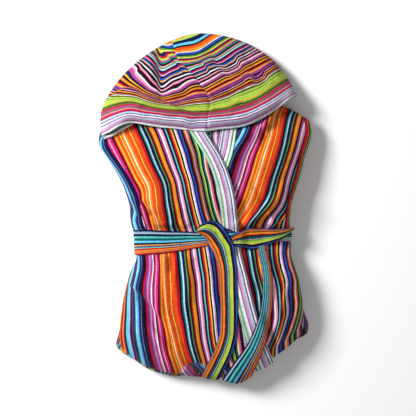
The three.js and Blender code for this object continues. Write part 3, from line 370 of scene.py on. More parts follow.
def woven(text):
    """The (yarn, width) pairs of a stretch of the weave."""
    pairs = (stripe.split() for stripe in text.split(","))
    return [(yarn, float(width)) for yarn, width in pairs]


STRIPES = [stripe for text in WEAVE.values() for stripe in woven(text)]
REPEAT = sum(width for _, width in STRIPES)


def weave_start(group):
    """How far into the repeat a stretch of the weave starts."""
    names = list(WEAVE)
    before = names[: names.index(group)]
    return sum(width for name in before for _, width in woven(WEAVE[name]))


# ---- Small mathematics ----
def mix(a, b, t):
    return a + (b - a) * t


def ease(t):
    """From 0 to 1, level at both ends."""
    s = np.clip(t, 0, 1)
    return s * s * (3 - 2 * s)


def step_up(t):
    """A soft step from 0 to 1 at 0."""
    return 1 / (1 + np.exp(-np.clip(t, -30, 30)))


def unit(v):
    size = np.linalg.norm(v, axis=-1, keepdims=True)
    return v / np.where(size > 1e-9, size, 1)


def smooth(rows, by, of):
    """A smooth line through a table's rows. Past its ends it stays level."""
    order = np.argsort(rows[by])
    at, value = rows[by][order], rows[of][order]
    steps = np.diff(value) / np.diff(at)
    before, after = steps[:-1], steps[1:]
    both = before + after
    inner = np.where(before * after > 0, 2 * before * after / np.where(both == 0, 1, both), 0)
    slopes = np.concatenate([steps[:1], inner, steps[-1:]])

    def line(x):
        t = np.clip(x, at[0], at[-1])
        i = np.clip(np.searchsorted(at, t, side="left") - 1, 0, len(at) - 2)
        span = at[i + 1] - at[i]
        s = (t - at[i]) / span
        rise = (slopes[i] * s * (1 - s) ** 2 - slopes[i + 1] * s * s * (1 - s)) * span
        return mix(value[i], value[i + 1], s * s * (3 - 2 * s)) + rise

    return line


left_at = smooth(SIDES, "y", "left")
right_at = smooth(SIDES, "y", "right")
crown_at = smooth(CROWN, "y", "height")
top_at = smooth(ENDS, "share", "top")
bottom_at = smooth(ENDS, "share", "bottom")
front_edge_at = smooth(FRONT_EDGE, "y", "x")
under_edge_at = smooth(UNDER_EDGE, "y", "x")
sleeve_left_at = smooth(SLEEVE_SHOWS, "y", "left")
sleeve_right_at = smooth(SLEEVE_SHOWS, "y", "right")
LEFT_SPAN = float(bottom_at(-1)), float(top_at(-1))
RIGHT_SPAN = float(bottom_at(1)), float(top_at(1))


def plan(across, along):
    """Where a place on the skin is, seen from above."""
    a, b = np.clip(across, -1, 1), np.clip(along, -1, 1)
    p = a * (1 - CORNER_ROUND * np.abs(b) ** 8)
    q = b * (1 - CORNER_ROUND * np.abs(a) ** 8)
    share = (q + 1) / 2
    left = left_at(mix(*LEFT_SPAN, share))
    right = right_at(mix(*RIGHT_SPAN, share))
    return mix(left, right, (p + 1) / 2), mix(bottom_at(p), top_at(p), share)


def bisect(too_low, shape):
    """The share from -1 to 1 at which too_low stops being true."""
    low, high = np.full(shape, -1.0), np.full(shape, 1.0)
    for _ in range(24):
        middle = (low + high) / 2
        below = too_low(middle)
        low, high = np.where(below, middle, low), np.where(below, high, middle)
    return (low + high) / 2


def across_at(x, along):
    """The share across of an x, at a share along."""
    x, along = np.broadcast_arrays(np.asarray(x, float), np.asarray(along, float))
    return bisect(lambda share: plan(share, along)[0] < x, x.shape)


def along_at(y, across):
    """The share along of a y, at a share across."""
    y, across = np.broadcast_arrays(np.asarray(y, float), np.asarray(across, float))
    return bisect(lambda share: plan(across, share)[1] < y, y.shape)


def across_line(line, along):
    """The share across of a line given as x at y."""
    share = np.zeros_like(np.asarray(along, float))
    for _ in range(10):
        share = across_at(line(plan(share, along)[1]), along)
    return share


def shares_over(x, y):
    """The shares across and along of a place seen from above."""
    across, along = np.zeros_like(x), np.zeros_like(x)
    for _ in range(7):
        across = across_at(x, along)
        along = along_at(y, across)
    return across, along


def rounding(share, power):
    """1 over the middle, and down to 0 at both ends."""
    return (1 - np.abs(np.clip(share, -1, 1)) ** power) ** (1 / ROUND_POWER)


def beside(x, y, x0, y0, x1, y1):
    """How far along a line a place is, as a share, and how far to its left."""
    dx, dy = x1 - x0, y1 - y0
    length = math.hypot(dx, dy)
    return ((x - x0) * dx + (y - y0) * dy) / length**2, ((x - x0) * -dy + (y - y0) * dx) / length


def fold_heights(folds, x, y):
    """The sum of all folds at a place: each swells along its line and falls away to each side."""
    total = np.zeros_like(x)
    for x0, y0, x1, y1, bow, height, left, right in zip(*folds.values()):
        t, aside = beside(x, y, x0, y0, x1, y1)
        aside = aside - bow * 4 * t * (1 - t)
        width = np.where(aside > 0, right, left)
        swell = ease((t + 0.25) / 0.45) * ease((1.25 - t) / 0.45)
        total += height * swell * np.exp(-((aside / width) ** 2))
    return total


def laps(rows, x, y):
    """The height of all laps at a place, and how much cloth they hide from its left to there."""
    height, hidden = np.zeros_like(x), np.zeros_like(x)
    for x0, y0, x1, y1, bow, top, width, hides in zip(*rows.values()):
        t, aside = beside(x, y, x0, y0, x1, y1)
        bend = bow * 4 * np.clip(t, -0.2, 1.2) * (1 - np.clip(t, -0.2, 1.2))
        right = (aside - bend) * (1 if y1 < y0 else -1)
        swell = ease((t + 0.1) / 0.7) * ease((1.3 - t) / 0.3)
        inward = right * np.sign(width)
        slope = np.exp(-((np.maximum(inward, 0) / abs(width)) ** 2))
        height += top * swell * slope * step_up(inward / LAP_STEP * 2)
        fading = np.exp(-((np.maximum(right, 0) / LAP_REACH) ** 2))
        hidden += hides * swell * fading * step_up(right / LAP_TUCK)
    return height, hidden


def off_belt(y):
    """0 under the belt, and 1 away from it."""
    return ease((np.abs(y - BELT_AT) - BELT_HALF - 2) / FOLD_FADE)


def no_folds(x, y):
    """Smooth cloth."""
    return 0 * x


def broad_folds(x, y):
    """The folds that the belt and its tails follow."""
    folds = fold_heights(FRONT_FOLDS, x, y) * mix(FOLD_UNDER_BELT, FOLD_HEIGHT, off_belt(y))
    return folds - CINCH * np.exp(-(((y - BELT_AT) / 30) ** 4))


def front_folds(x, y):
    creases = fold_heights(CREASES, x, y) * CREASE_DEPTH + laps(FRONT_LAPS, x, y)[0] * LAP_HEIGHT
    return broad_folds(x, y) + creases * off_belt(y)


def skin(across, along, folds=front_folds):
    """The bundle's outside without its cloth; past a share of 1 it curls in below the rim."""
    x, y = plan(across, along)
    dome = rounding(across, SIDE_POWER) * rounding(along, END_POWER)
    beyond = np.clip(np.maximum(np.abs(across), np.abs(along)) - 1, 0, None) / (TURNED - 1)
    turn = beyond * math.radians(TURN_UNDER)
    z = mix(RIM_HEIGHT, crown_at(y), dome) + folds(x, y) * ease(dome * 1.4)
    inward = CURL * (1 - np.cos(turn)) / np.maximum(np.hypot(x, y), 1)
    return np.stack([x * (1 - inward), y * (1 - inward), z - CURL * np.sin(turn)], -1)


def on_skin(across, along, offset, folds=front_folds):
    """A place on the folds, moved out along the normal of the skin without them."""
    step = 0.004
    across, along = np.broadcast_arrays(np.asarray(across, float), np.asarray(along, float))
    a, b = np.clip(across, -1, 1), np.clip(along, -1, 1)
    along_x = skin(np.minimum(1, a + step), b, no_folds) - skin(np.maximum(-1, a - step), b, no_folds)
    along_y = skin(a, np.minimum(1, b + step), no_folds) - skin(a, np.maximum(-1, b - step), no_folds)
    normal = unit(np.cross(along_x, along_y))
    return skin(across, along, folds) + normal * np.asarray(offset, float)[..., None]


def crowd(t, room=0.15):
    """Shares from 0 to 1 that crowd together at 0."""
    return (1 + room) * t * t / (t + room)


def crowd_both(t, room=0.12):
    """Shares from 0 to 1 that crowd together at both ends."""
    first, last = crowd(2 * np.minimum(t, 0.5), room), crowd(2 - 2 * np.maximum(t, 0.5), room)
    return np.where(t < 0.5, first / 2, 1 - last / 2)


def lap_lift(inside):
    """How far the upper front stands off, from how far inside its edge a place is."""
    return LAP_LIFT * ease(1 - (inside - LAP_WIDTH) / LAP_EASE)


def no_lift(inside):
    return inside * 0


def cloth_top(x, y):
    """How high the front cloth reaches over the skin, as a belt feels it."""
    inside = front_edge_at(y) - x
    band = (SEAM_GAP + BAND_CLOTH) * ease(1 - (inside - BAND_WIDTH - 2) / 12)
    over = lap_lift(inside) + TERRY + SEAM_GAP + band
    return mix(TERRY + SEAM_GAP, over, ease((inside + 27) / 22))


def share_of(width, along):
    """A width as a share across."""
    return 2 * width / (plan(1, along)[0] - plan(-1, along)[0])


# ---- Making cloth ----
EDGE_TURNS = (30, 60, 90, 120, 150)  # degrees round a cut or turned edge
FRONTS = ["front_over", "front_under"]
CROSSED = ["front_under", "band_over"]
LAYERS = ["folded_layers"]
BELT_BACK = ["belt_under", "belt_side_left", "belt_side_right"]
# The cut of what shows: each sheet's slot, the nodes that it stands for, its flat width and length in
# metres, its area, how it is held, and what it rests on.
CUT = {
    "front_over_cloth": ("terry", ["front_over"], (0.33, 0.66), 0.17, "folded", ["folded_edge_top"]),
    "front_under_cloth": ("terry", ["front_under"], (0.26, 0.64), 0.12, "folded", ["folded_edge_top"]),
    "band_over_cloth": ("band", ["band_over"], (0.044, 0.65), 0.0286, "stretched", ["front_over"]),
    "band_under_cloth": ("band", ["band_under"], (0.044, 0.16), 0.0068, "stretched", ["front_under"]),
    "back_neck_cloth": ("facing", ["back_neck"], (0.09, 0.16), 0.0105, "laid", ["folded_edge_top"]),
    "sleeve_left_cloth": ("terry", ["sleeve_left"], (0.06, 0.28), 0.015, "folded", ["folded_edge_top"]),
    "sleeve_right_cloth": ("terry", ["sleeve_right"], (0.06, 0.28), 0.0109, "folded", ["folded_edge_top"]),
    "hood_left_cloth": ("terry", ["hood_left"], (0.29, 0.27), 0.052, "folded", FRONTS),
    "hood_right_cloth": ("terry", ["hood_right"], (0.29, 0.27), 0.055, "folded", FRONTS),
    "brim_lip_cloth": ("facing", ["brim_lip"], (0.025, 0.08), 0.002, "folded", ["front_over"]),
    "belt_left_cloth": ("belt", ["belt_left"], (0.05, 0.21), 0.0098, "stretched", ["front_over"]),
    "belt_right_cloth": ("belt", ["belt_right"], (0.046, 0.135), 0.0054, "stretched", ["front_under"]),
    "belt_behind_cloth": ("belt", ["belt_right"], (0.03, 0.045), 0.0011, "stretched", ["front_under"]),
    "belt_turn_cloth": ("belt", ["belt_turn"], (0.03, 0.06), 0.0016, "stretched", ["front_under"]),
    "belt_round_back": ("belt", BELT_BACK, (0.046, 0.38), 0.0174, "stretched", ["folded_underside"]),
    "tail_over_cloth": ("belt", ["tail_over"], (0.042, 0.45), 0.0175, "laid", ["belt_left", "front_over"]),
    "tail_under_cloth": ("belt", ["tail_under"], (0.042, 0.34), 0.0134, "laid", CROSSED),
    "folded_edge_top": ("layers", LAYERS, (0.075, 2.07), 0.122, "folded", ["folded_underside"]),
    "folded_edge_middle": ("layers", LAYERS, (0.075, 2.07), 0.122, "folded", ["folded_underside"]),
    "folded_edge_low": ("layers", LAYERS, (0.075, 2.07), 0.122, "folded", ["folded_underside"]),
    "folded_underside": ("layers", LAYERS, (0.42, 0.56), 0.205, "folded", []),
    "hem_roll_cloth": ("layers", LAYERS, (0.056, 0.056), 0.0028, "folded", ["folded_edge_top"]),
    "hood_edge_top": ("layers", ["hood_layers"], (0.075, 0.95), 0.0455, "folded", ["folded_underside"]),
    "hood_edge_low": ("layers", ["hood_layers"], (0.075, 0.95), 0.0455, "folded", ["folded_underside"]),
    "hood_underside": ("layers", ["hood_layers"], (0.38, 0.17), 0.04, "folded", []),
}


def cloth_piece(name, points, faces, cloth_map):
    """A piece of the cut from points and faces, with its cloth map in metres and what it stands for."""
    slot, nodes, flat, area, held, rests_on = CUT[name]
    mesh = bpy.data.meshes.new(name)
    mesh.from_pydata((points * MM).tolist(), [], faces)
    layer = mesh.uv_layers.new(name="Cloth")
    corners = np.empty(len(mesh.loops), np.int32)
    mesh.loops.foreach_get("vertex_index", corners)
    layer.data.foreach_set("uv", (cloth_map[corners] * MM).astype(np.float32).ravel())
    mesh.polygons.foreach_set("use_smooth", np.ones(len(mesh.polygons), bool))
    mesh.materials.append(terry(slot))
    mesh.update()
    piece = bpy.data.objects.new(name, mesh)
    bpy.context.scene.collection.objects.link(piece)
    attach(piece, "root")
    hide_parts(*nodes)


def quads(upper, lower):
    """Faces between two rows or rings of point numbers, given as arrays of the same length."""
    return np.stack([upper[:-1], upper[1:], lower[1:], lower[:-1]], -1)


def grid_cells(number):
    """Faces between the neighbours in a grid of point numbers."""
    return np.stack([number[:-1, :-1], number[:-1, 1:], number[1:, 1:], number[1:, :-1]], -1).reshape(-1, 4)


def cloth_sheet(name, outer, cloth_map, thickness=TERRY, out=(0, 0, 1)):
    """A closed sheet of cloth below a grid of points, with round edges. Most of it faces the way out."""
    rows, columns = outer.shape[:2]
    normals = unit(np.cross(np.gradient(outer, axis=1), np.gradient(outer, axis=0)))
    facing = 1 if (normals.reshape(-1, 3) @ np.array(out, float)).sum() > 0 else -1
    normals = normals * facing
    thick = np.broadcast_to(np.asarray(thickness, float), (rows, columns))[..., None]
    inner = outer - normals * thick
    number = np.arange(rows * columns).reshape(rows, columns)
    loop = np.concatenate([number[0, :-1], number[:-1, -1], number[-1, :0:-1], number[:0:-1, 0]])
    flat_outer, flat_normals = outer.reshape(-1, 3), normals.reshape(-1, 3)
    rim, up = flat_outer[loop], flat_normals[loop]
    half = thick.reshape(-1, 1)[loop] / 2
    tangent = np.roll(rim, -1, 0) - np.roll(rim, 1, 0)
    side = unit(np.cross(tangent, up)) * facing
    middle = rim - up * half
    rings = [middle + half * (side * math.sin(a) + up * math.cos(a)) for a in np.radians(EDGE_TURNS)]
    points = np.concatenate([flat_outer, inner.reshape(-1, 3)] + rings)
    maps = cloth_map.reshape(-1, 2)
    spread = [maps[loop]] * len(rings)
    faces = []
    for cells, flip in ((grid_cells(number), facing < 0), (grid_cells(number + number.size), facing > 0)):
        faces.append(cells[:, ::-1] if flip else cells)
    starts = [loop] + [2 * number.size + k * len(loop) + np.arange(len(loop)) for k in range(len(rings))]
    starts.append(loop + number.size)
    for above, below in zip(starts, starts[1:]):
        band = quads(np.append(above, above[0]), np.append(below, below[0]))
        faces.append(band[:, ::-1] if facing > 0 else band)
    every_map = np.concatenate([maps, maps] + spread)
    return cloth_piece(name, points, np.concatenate(faces).tolist(), every_map)


def arc_lengths(points, axis):
    """How far each point of a grid lies along its row or column, over the cloth."""
    steps = np.linalg.norm(np.diff(points, axis=axis), axis=-1)
    start = np.zeros_like(np.take(steps, [0], axis=axis))
    return np.concatenate([start, np.cumsum(steps, axis=axis)], axis=axis)


def mean_lengths(points):
    """How far each row of a grid lies from the first, the same all along it."""
    return arc_lengths(points, 0).mean(axis=1, keepdims=True) * np.ones(points.shape[1])


# ---- Materials ----
def linear(code):
    """A colour as light from its two-digit codes."""
    values = [int(code[k : k + 2], 16) / 255 for k in (0, 2, 4)]
    return [v / 12.92 if v <= 0.04045 else ((v + 0.055) / 1.055) ** 2.4 for v in values]


def yarn_colour(yarn, code):
    """A colour that can be set for one yarn."""
    words = yarn.replace("_", " ")
    about = f"Colour of the {words} stripes"
    return FloatVectorProperty(
        name=words.capitalize(), description=about, subtype="COLOR", default=linear(code), min=0, max=1
    )


class GownYarns(PropertyGroup):
    """Colours of the striped yarns."""

    __annotations__ = {yarn: yarn_colour(yarn, code) for yarn, code in YARNS.items()}


class GownCloth(PropertyGroup):
    """Finish of the terry."""

    loop: FloatProperty(name="Loop size", description="Size of one loop", default=0.0014, unit="LENGTH")
    pile: FloatProperty(name="Pile", description="Height of the loops", default=0.0009, unit="LENGTH")
    sheen: FloatProperty(name="Sheen", description="How much the nap lightens", default=0.06, max=1)
    waver: FloatProperty(name="Waver", description="How far stripes stray", default=0.0006, unit="LENGTH")


class GownStage(PropertyGroup):
    """Light, floor and camera."""

    floor: FloatVectorProperty(
        name="Floor", description="Colour of the floor", subtype="COLOR", default=(0.85,) * 3, min=0, max=1
    )
    key: FloatProperty(name="Key light", description="Power of the large light", default=208, unit="POWER")
    fill: FloatProperty(name="Fill light", description="Power of the second light", default=16, unit="POWER")
    sky: FloatProperty(name="Surroundings", description="Strength of the light all round", default=0.3)
    height: FloatProperty(name="Camera height", description="Over the floor", default=2.6, unit="LENGTH")


class Nodes:
    """Adds and links shader nodes in a tree."""

    def __init__(self, tree):
        self.tree = tree

    def feed(self, socket, value):
        if isinstance(value, bpy.types.NodeSocket):
            self.tree.links.new(value, socket)
        else:
            socket.default_value = value

    def add(self, kind, values=(), **settings):
        node = self.tree.nodes.new(kind)
        for name, value in settings.items():
            setattr(node, name, value)
        for key, value in dict(values).items():
            self.feed(node.inputs[key], value)
        return node

    def add_group(self, group, values):
        return self.add("ShaderNodeGroup", values, node_tree=group)

    def math(self, operation, a, b=0.0):
        return self.add("ShaderNodeMath", {0: a, 1: b}, operation=operation).outputs[0]

    def mix(self, factor, a, b):
        return self.add("ShaderNodeMix", {0: factor, 6: a, 7: b}, data_type="RGBA").outputs[2]


def node_group(name, inputs, outputs):
    """A new shader group with named sockets."""
    group = bpy.data.node_groups.new(name, "ShaderNodeTree")
    for socket, kind, value in inputs:
        made = group.interface.new_socket(name=socket, in_out="INPUT", socket_type=kind)
        if value is not None:
            made.default_value = value
    for socket, kind in outputs:
        group.interface.new_socket(name=socket, in_out="OUTPUT", socket_type=kind)
    nodes = Nodes(group)
    return group, nodes, nodes.add("NodeGroupInput"), nodes.add("NodeGroupOutput")


def weave_group(yarns):
    """The stripes by their place across the cloth. Pile is how high each one's loops stand."""
    group, nodes, source, result = node_group(
        "Striped weave",
        [("Cloth", "NodeSocketVector", None), ("Waver", "NodeSocketFloat", 0.0006)],
        [("Color", "NodeSocketColor"), ("Pile", "NodeSocketFloat")],
    )
    place = nodes.add("ShaderNodeSeparateXYZ", {0: source.outputs["Cloth"]}).outputs
    stray = nodes.add("ShaderNodeMapping", {"Vector": source.outputs["Cloth"], "Scale": STRAY_GRAIN})
    noise = nodes.add("ShaderNodeTexNoise", {"Vector": stray.outputs[0], "Scale": 1.0, "Detail": 1.0})
    off = nodes.math("MULTIPLY", nodes.math("SUBTRACT", noise.outputs["Fac"], 0.5), source.outputs["Waver"])
    across = nodes.math("ADD", place["X"], nodes.math("MULTIPLY", off, 2.0))
    share = nodes.math("FRACT", nodes.math("DIVIDE", across, REPEAT * MM))
    colour = pile = None
    reached = 0.0
    for first in range(0, len(STRIPES), RAMP_STOPS):
        chunk = STRIPES[first : first + RAMP_STOPS]
        start, span = reached / REPEAT, sum(width for _, width in chunk) / REPEAT
        local = nodes.math("DIVIDE", nodes.math("SUBTRACT", share, start), span)
        ramp = nodes.add("ShaderNodeValToRGB", {0: local})
        ramp.color_ramp.interpolation = "CONSTANT"
        stops = ramp.color_ramp.elements
        stops.remove(stops[-1])
        at = 0.0
        for k, (yarn, width) in enumerate(chunk):
            stop = stops[0] if k == 0 else stops.new(at / (span * REPEAT))
            # Neighbouring yarns stand to different heights.
            height = 0.45 + 0.55 * (((first + k) * 7) % 5) / 4
            stop.color = (*getattr(yarns, yarn), height)
            at += width
        if colour is None:
            colour, pile = ramp.outputs["Color"], ramp.outputs["Alpha"]
        else:
            here = nodes.math("GREATER_THAN", share, start)
            colour = nodes.mix(here, colour, ramp.outputs["Color"])
            gap = nodes.math("SUBTRACT", ramp.outputs["Alpha"], pile)
            pile = nodes.math("ADD", pile, nodes.math("MULTIPLY", gap, here))
        reached += span * REPEAT
    nodes.feed(result.inputs["Color"], colour)
    nodes.feed(result.inputs["Pile"], pile)
    return group


def nap_group():
    """Loops of terry in rows along the stripes, soft patches where the nap lies another way, and painted
    shade that darkens the cloth between the loops.
    """
    group, nodes, source, result = node_group(
        "Terry nap",
        [("Cloth", "NodeSocketVector", None), ("Loop", "NodeSocketFloat", 0.0014)],
        [("Shade", "NodeSocketFloat"), ("Height", "NodeSocketFloat")],
    )
    cloth = source.outputs["Cloth"]
    scaled = nodes.add("ShaderNodeVectorMath", {0: cloth}, operation="SCALE")
    group.links.new(nodes.math("DIVIDE", 1.0, source.outputs["Loop"]), scaled.inputs["Scale"])
    settings = {"Vector": scaled.outputs[0], "Scale": 1.0, "Randomness": 0.75}
    loops = nodes.add("ShaderNodeTexVoronoi", settings)
    streak = nodes.add("ShaderNodeMapping", {"Vector": cloth, "Scale": STREAK_GRAIN})
    streaks = nodes.add("ShaderNodeTexNoise", {"Vector": streak.outputs[0], "Scale": 1.0, "Detail": 3.0})
    settings = {"Vector": cloth, "Scale": PATCH_GRAIN, "Detail": 3.0, "Roughness": 0.6}
    patches = nodes.add("ShaderNodeTexNoise", settings)
    bump = nodes.math("SUBTRACT", 1.0, loops.outputs["Distance"])
    height = nodes.math("ADD", bump, nodes.math("MULTIPLY", streaks.outputs["Fac"], 0.9))
    shade = nodes.math("ADD", nodes.math("MULTIPLY", streaks.outputs["Fac"], 0.75), 0.08)
    shade = nodes.math("ADD", shade, nodes.math("MULTIPLY", patches.outputs["Fac"], 0.5))
    # Painted shade: the colour is lighter on the loops' tops and darker in the troughs between them.
    shade = nodes.math("ADD", shade, nodes.math("MULTIPLY", bump, 0.24))
    nodes.feed(result.inputs["Shade"], shade)
    nodes.feed(result.inputs["Height"], height)
    return group


# Rows of topstitching: a stretch of the weave, and how far into it each row lies.
STITCH_ROWS = {
    "belt": (("belt", 4.5), ("belt", 43.5), ("round", 4.5), ("round", 43.5), ("sky", 4.5), ("sky", 43.5)),
    "band": (("pale", 6.2), ("pale", 27.5)),
}
STITCH_LENGTH = 3.4
STITCH_DENT = 1.7  # how far to each side of a row the cloth dips
THREAD = (0.14, 0.13, 0.18, 1)


def stitch_group(slot):
    """Rows of topstitching: the thread, and the dent that it pulls into the cloth."""
    group, nodes, source, result = node_group(
        f"Topstitching, {slot}",
        [("Cloth", "NodeSocketVector", None)],
        [("Thread", "NodeSocketFloat"), ("Dent", "NodeSocketFloat")],
    )
    place = nodes.add("ShaderNodeSeparateXYZ", {0: source.outputs["Cloth"]}).outputs
    dent = 0.0
    for stretch, into in STITCH_ROWS[slot]:
        aside = nodes.math("SUBTRACT", place["X"], (weave_start(stretch) + into) * MM)
        share = nodes.math("DIVIDE", nodes.math("ABSOLUTE", aside), STITCH_DENT * MM)
        dent = nodes.math("MAXIMUM", dent, nodes.math("SUBTRACT", 1.0, share))
    step = nodes.math("FRACT", nodes.math("DIVIDE", place["Y"], STITCH_LENGTH * MM))
    shown = nodes.math("LESS_THAN", nodes.math("ABSOLUTE", nodes.math("SUBTRACT", step, 0.5)), 0.34)
    thread = nodes.math("MULTIPLY", nodes.math("GREATER_THAN", dent, 0.72), shown)
    nodes.feed(result.inputs["Thread"], thread)
    nodes.feed(result.inputs["Dent"], dent)
    return group


# How strong each slot's relief is, and how far its colours are faded.
FINISHES = {
    "terry": (1.0, 0.0),
    "facing": (0.9, 0.12),
    "band": (1.0, 0.0),
    "belt": (1.1, 0.0),
    "layers": (0.8, 0.06),
}
FADED = (0.55, 0.5, 0.52, 1)


def terry_material(slot, weave, nap, cloth):
    """Striped terry: colour from the weave, shade and relief from the nap."""
    strength, fade = FINISHES[slot]
    made = bpy.data.materials.new(f"Terry, {slot}")
    made.use_nodes = True
    nodes = Nodes(made.node_tree)
    made.node_tree.nodes.clear()
    place = nodes.add("ShaderNodeUVMap", uv_map="Cloth").outputs[0]
    stripes = nodes.add_group(weave, {"Cloth": place, "Waver": cloth.waver})
    loops = nodes.add_group(nap, {"Cloth": place, "Loop": cloth.loop})
    faded = nodes.mix(fade, stripes.outputs["Color"], FADED)
    shaded = nodes.add("ShaderNodeVectorMath", {0: faded, 3: loops.outputs["Shade"]}, operation="SCALE")
    relief = nodes.math("ADD", loops.outputs["Height"], nodes.math("MULTIPLY", stripes.outputs["Pile"], 1.1))
    colour = shaded.outputs[0]
    if slot in STITCH_ROWS:
        sewn = nodes.add_group(stitch_group(slot), {"Cloth": place})
        colour = nodes.mix(sewn.outputs["Thread"], colour, THREAD)
        relief = nodes.math("SUBTRACT", relief, nodes.math("MULTIPLY", sewn.outputs["Dent"], 1.8))
        relief = nodes.math("ADD", relief, sewn.outputs["Thread"])
    bump = nodes.add("ShaderNodeBump", {"Height": relief, "Distance": cloth.pile, "Strength": strength})
    values = {
        "Base Color": colour,
        "Roughness": 0.92,
        "Specular IOR Level": 0.05,
        "Sheen Weight": cloth.sheen,
        "Sheen Roughness": 0.4,
        "Normal": bump.outputs[0],
    }
    shader = nodes.add("ShaderNodeBsdfPrincipled", values)
    nodes.add("ShaderNodeOutputMaterial", {"Surface": shader.outputs[0]})
    return made


def terry(slot):
    """The material of a slot, made when it is first asked for."""
    name = f"Terry, {slot}"
    if name not in bpy.data.materials:
        scene = bpy.context.scene
        weave = bpy.data.node_groups.get("Striped weave") or weave_group(scene.gown_yarns)
        nap = bpy.data.node_groups.get("Terry nap") or nap_group()
        terry_material(slot, weave, nap, scene.gown_cloth)
    return bpy.data.materials[name]


# ---- The fronts ----
def front_rows(count=300):
    """Shares along, from the shoulders to the hem, crowded at both."""
    return TURNED - 2 * TURNED * crowd_both(np.linspace(0, 1, count + 1))


def front_end(side, along):
    """The outer end of a front: beside the sleeve above the belt, and turned in at the rim below it."""
    x, y = plan(side, along)
    shown = sleeve_left_at(y) if side < 0 else sleeve_right_at(y)
    return mix(side * TURNED, across_at(x - side * shown, along), ease((y - FRONT_WIDENS) / 42))


def over_edge(along):
    return across_line(front_edge_at, along)


def under_edge(along):
    return across_line(lambda y: np.maximum(under_edge_at(y), front_edge_at(y) - LAP_WIDTH + 8), along)


def flowing(rows, by, of, reach=15):
    """A table's line with its corners rounded off over a reach to each side."""
    line = smooth(rows, by, of)
    return lambda t: sum(line(t + reach * k / 3) * (4 - abs(k)) for k in range(-3, 4)) / 16


def weave_across(across, along, weave, start):
    """Each point's place in the weave, from how far over the cloth it is from a line of the weave."""
    x, y = plan(across, along)
    line, left, right = (flowing(weave, "y", name) for name in ("line", "left", "right"))
    reach = arc_lengths(skin(across, along, no_folds)[..., ::2], 1)
    hidden = laps(FRONT_LAPS, x, y)[1]
    aside = x - line(y)
    order = 1 if aside[0, -1] > aside[0, 0] else -1
    at_line = [np.interp(0, *row) for row in zip(aside[:, ::order], reach[:, ::order])]
    at_line = np.array(at_line)[:, None]
    away = (reach - at_line) * order
    sway = 1.1 * np.sin(y / 37 + x / 61) + 0.5 * np.sin(y / 14 - x / 29)
    return start - away * np.where(away < 0, left(y), right(y)) - hidden + sway


def front_panel(side, columns, lift, weave, start):
    """The points of a front, from its outer end to its edge, and its cloth map."""
    rows = front_rows()
    edge = over_edge(rows) if side < 0 else under_edge(rows)
    end = front_end(side, rows)
    t = np.linspace(0, 1, columns + 1)[None, :]
    turned = ease((np.abs(end) - 0.97) / 0.1)[:, None]
    across = mix(end[:, None], edge[:, None], mix(mix(crowd(t), t, 0.5), crowd(t), turned))
    along = np.broadcast_to(rows[:, None], across.shape)
    x, y = plan(across, along)
    points = on_skin(across, along, lift(front_edge_at(y) - x) + TERRY)
    woven_at = weave_across(across, along, weave, start)
    return points, np.stack([woven_at, mean_lengths(points)], -1)


class GOWN_OT_fronts(Operator):
    """Make the two fronts, one lapped over the other."""

    bl_idname = "gown.fronts"
    bl_label = "Fronts"

    def execute(self, context):
        hot = weave_start("hot") + 20
        cloth_sheet("front_over_cloth", *front_panel(-1, 150, lap_lift, OVER_WEAVE, hot))
        cloth_sheet("front_under_cloth", *front_panel(1, 110, no_lift, UNDER_WEAVE, hot - 27))
        return {"FINISHED"}


# ---- Bands and the back of the neck ----
BAND_STEPS = 12
BAND_TURN = 150  # degrees that the band wraps round the front's edge


def band(name, rows, edge, side, lift):
    """A strip on a front's edge that wraps round it. side is the way out of the front."""
    flat = np.linspace(BAND_WIDTH, 0, BAND_STEPS)
    turn = np.radians(np.linspace(0, BAND_TURN, 9)[1:])
    radius = TERRY / 2 + SEAM_GAP + BAND_CLOTH
    inside = np.concatenate([flat, -radius * np.sin(turn)])
    drop = np.concatenate([flat * 0, radius * (1 - np.cos(turn))])
    sewn = 0.7 * np.exp(-(((inside - 25) / 1.6) ** 2))
    rise = 0.8 * np.sin(np.pi * np.clip(inside / BAND_WIDTH, 0, 1)) - sewn
    across = edge(rows)[:, None] - side * share_of(inside[None, :], rows[:, None])
    along = np.broadcast_to(rows[:, None], across.shape)
    x, y = plan(across, along)
    base = lift(front_edge_at(y) - np.minimum(x, front_edge_at(y))) + TERRY + SEAM_GAP + BAND_CLOTH
    points = on_skin(across, along, base - drop + rise)
    start = weave_start("pale") + 1.2
    shift = np.cumsum(np.append(0, np.hypot(np.diff(inside), np.diff(drop))))
    cloth_map = np.stack([start + shift * np.ones_like(x), mean_lengths(points)], -1)
    cloth_sheet(name, points, cloth_map, BAND_CLOTH)


class GOWN_OT_bands(Operator):
    """Make the striped bands on the front edges."""

    bl_idname = "gown.bands"
    bl_label = "Bands"

    def execute(self, context):
        rows = front_rows()
        band("band_over_cloth", rows[rows < 0.97], over_edge, 1, lap_lift)
        band("band_under_cloth", rows[(rows < 0.93) & (rows > 0.42)], under_edge, -1, no_lift)
        return {"FINISHED"}


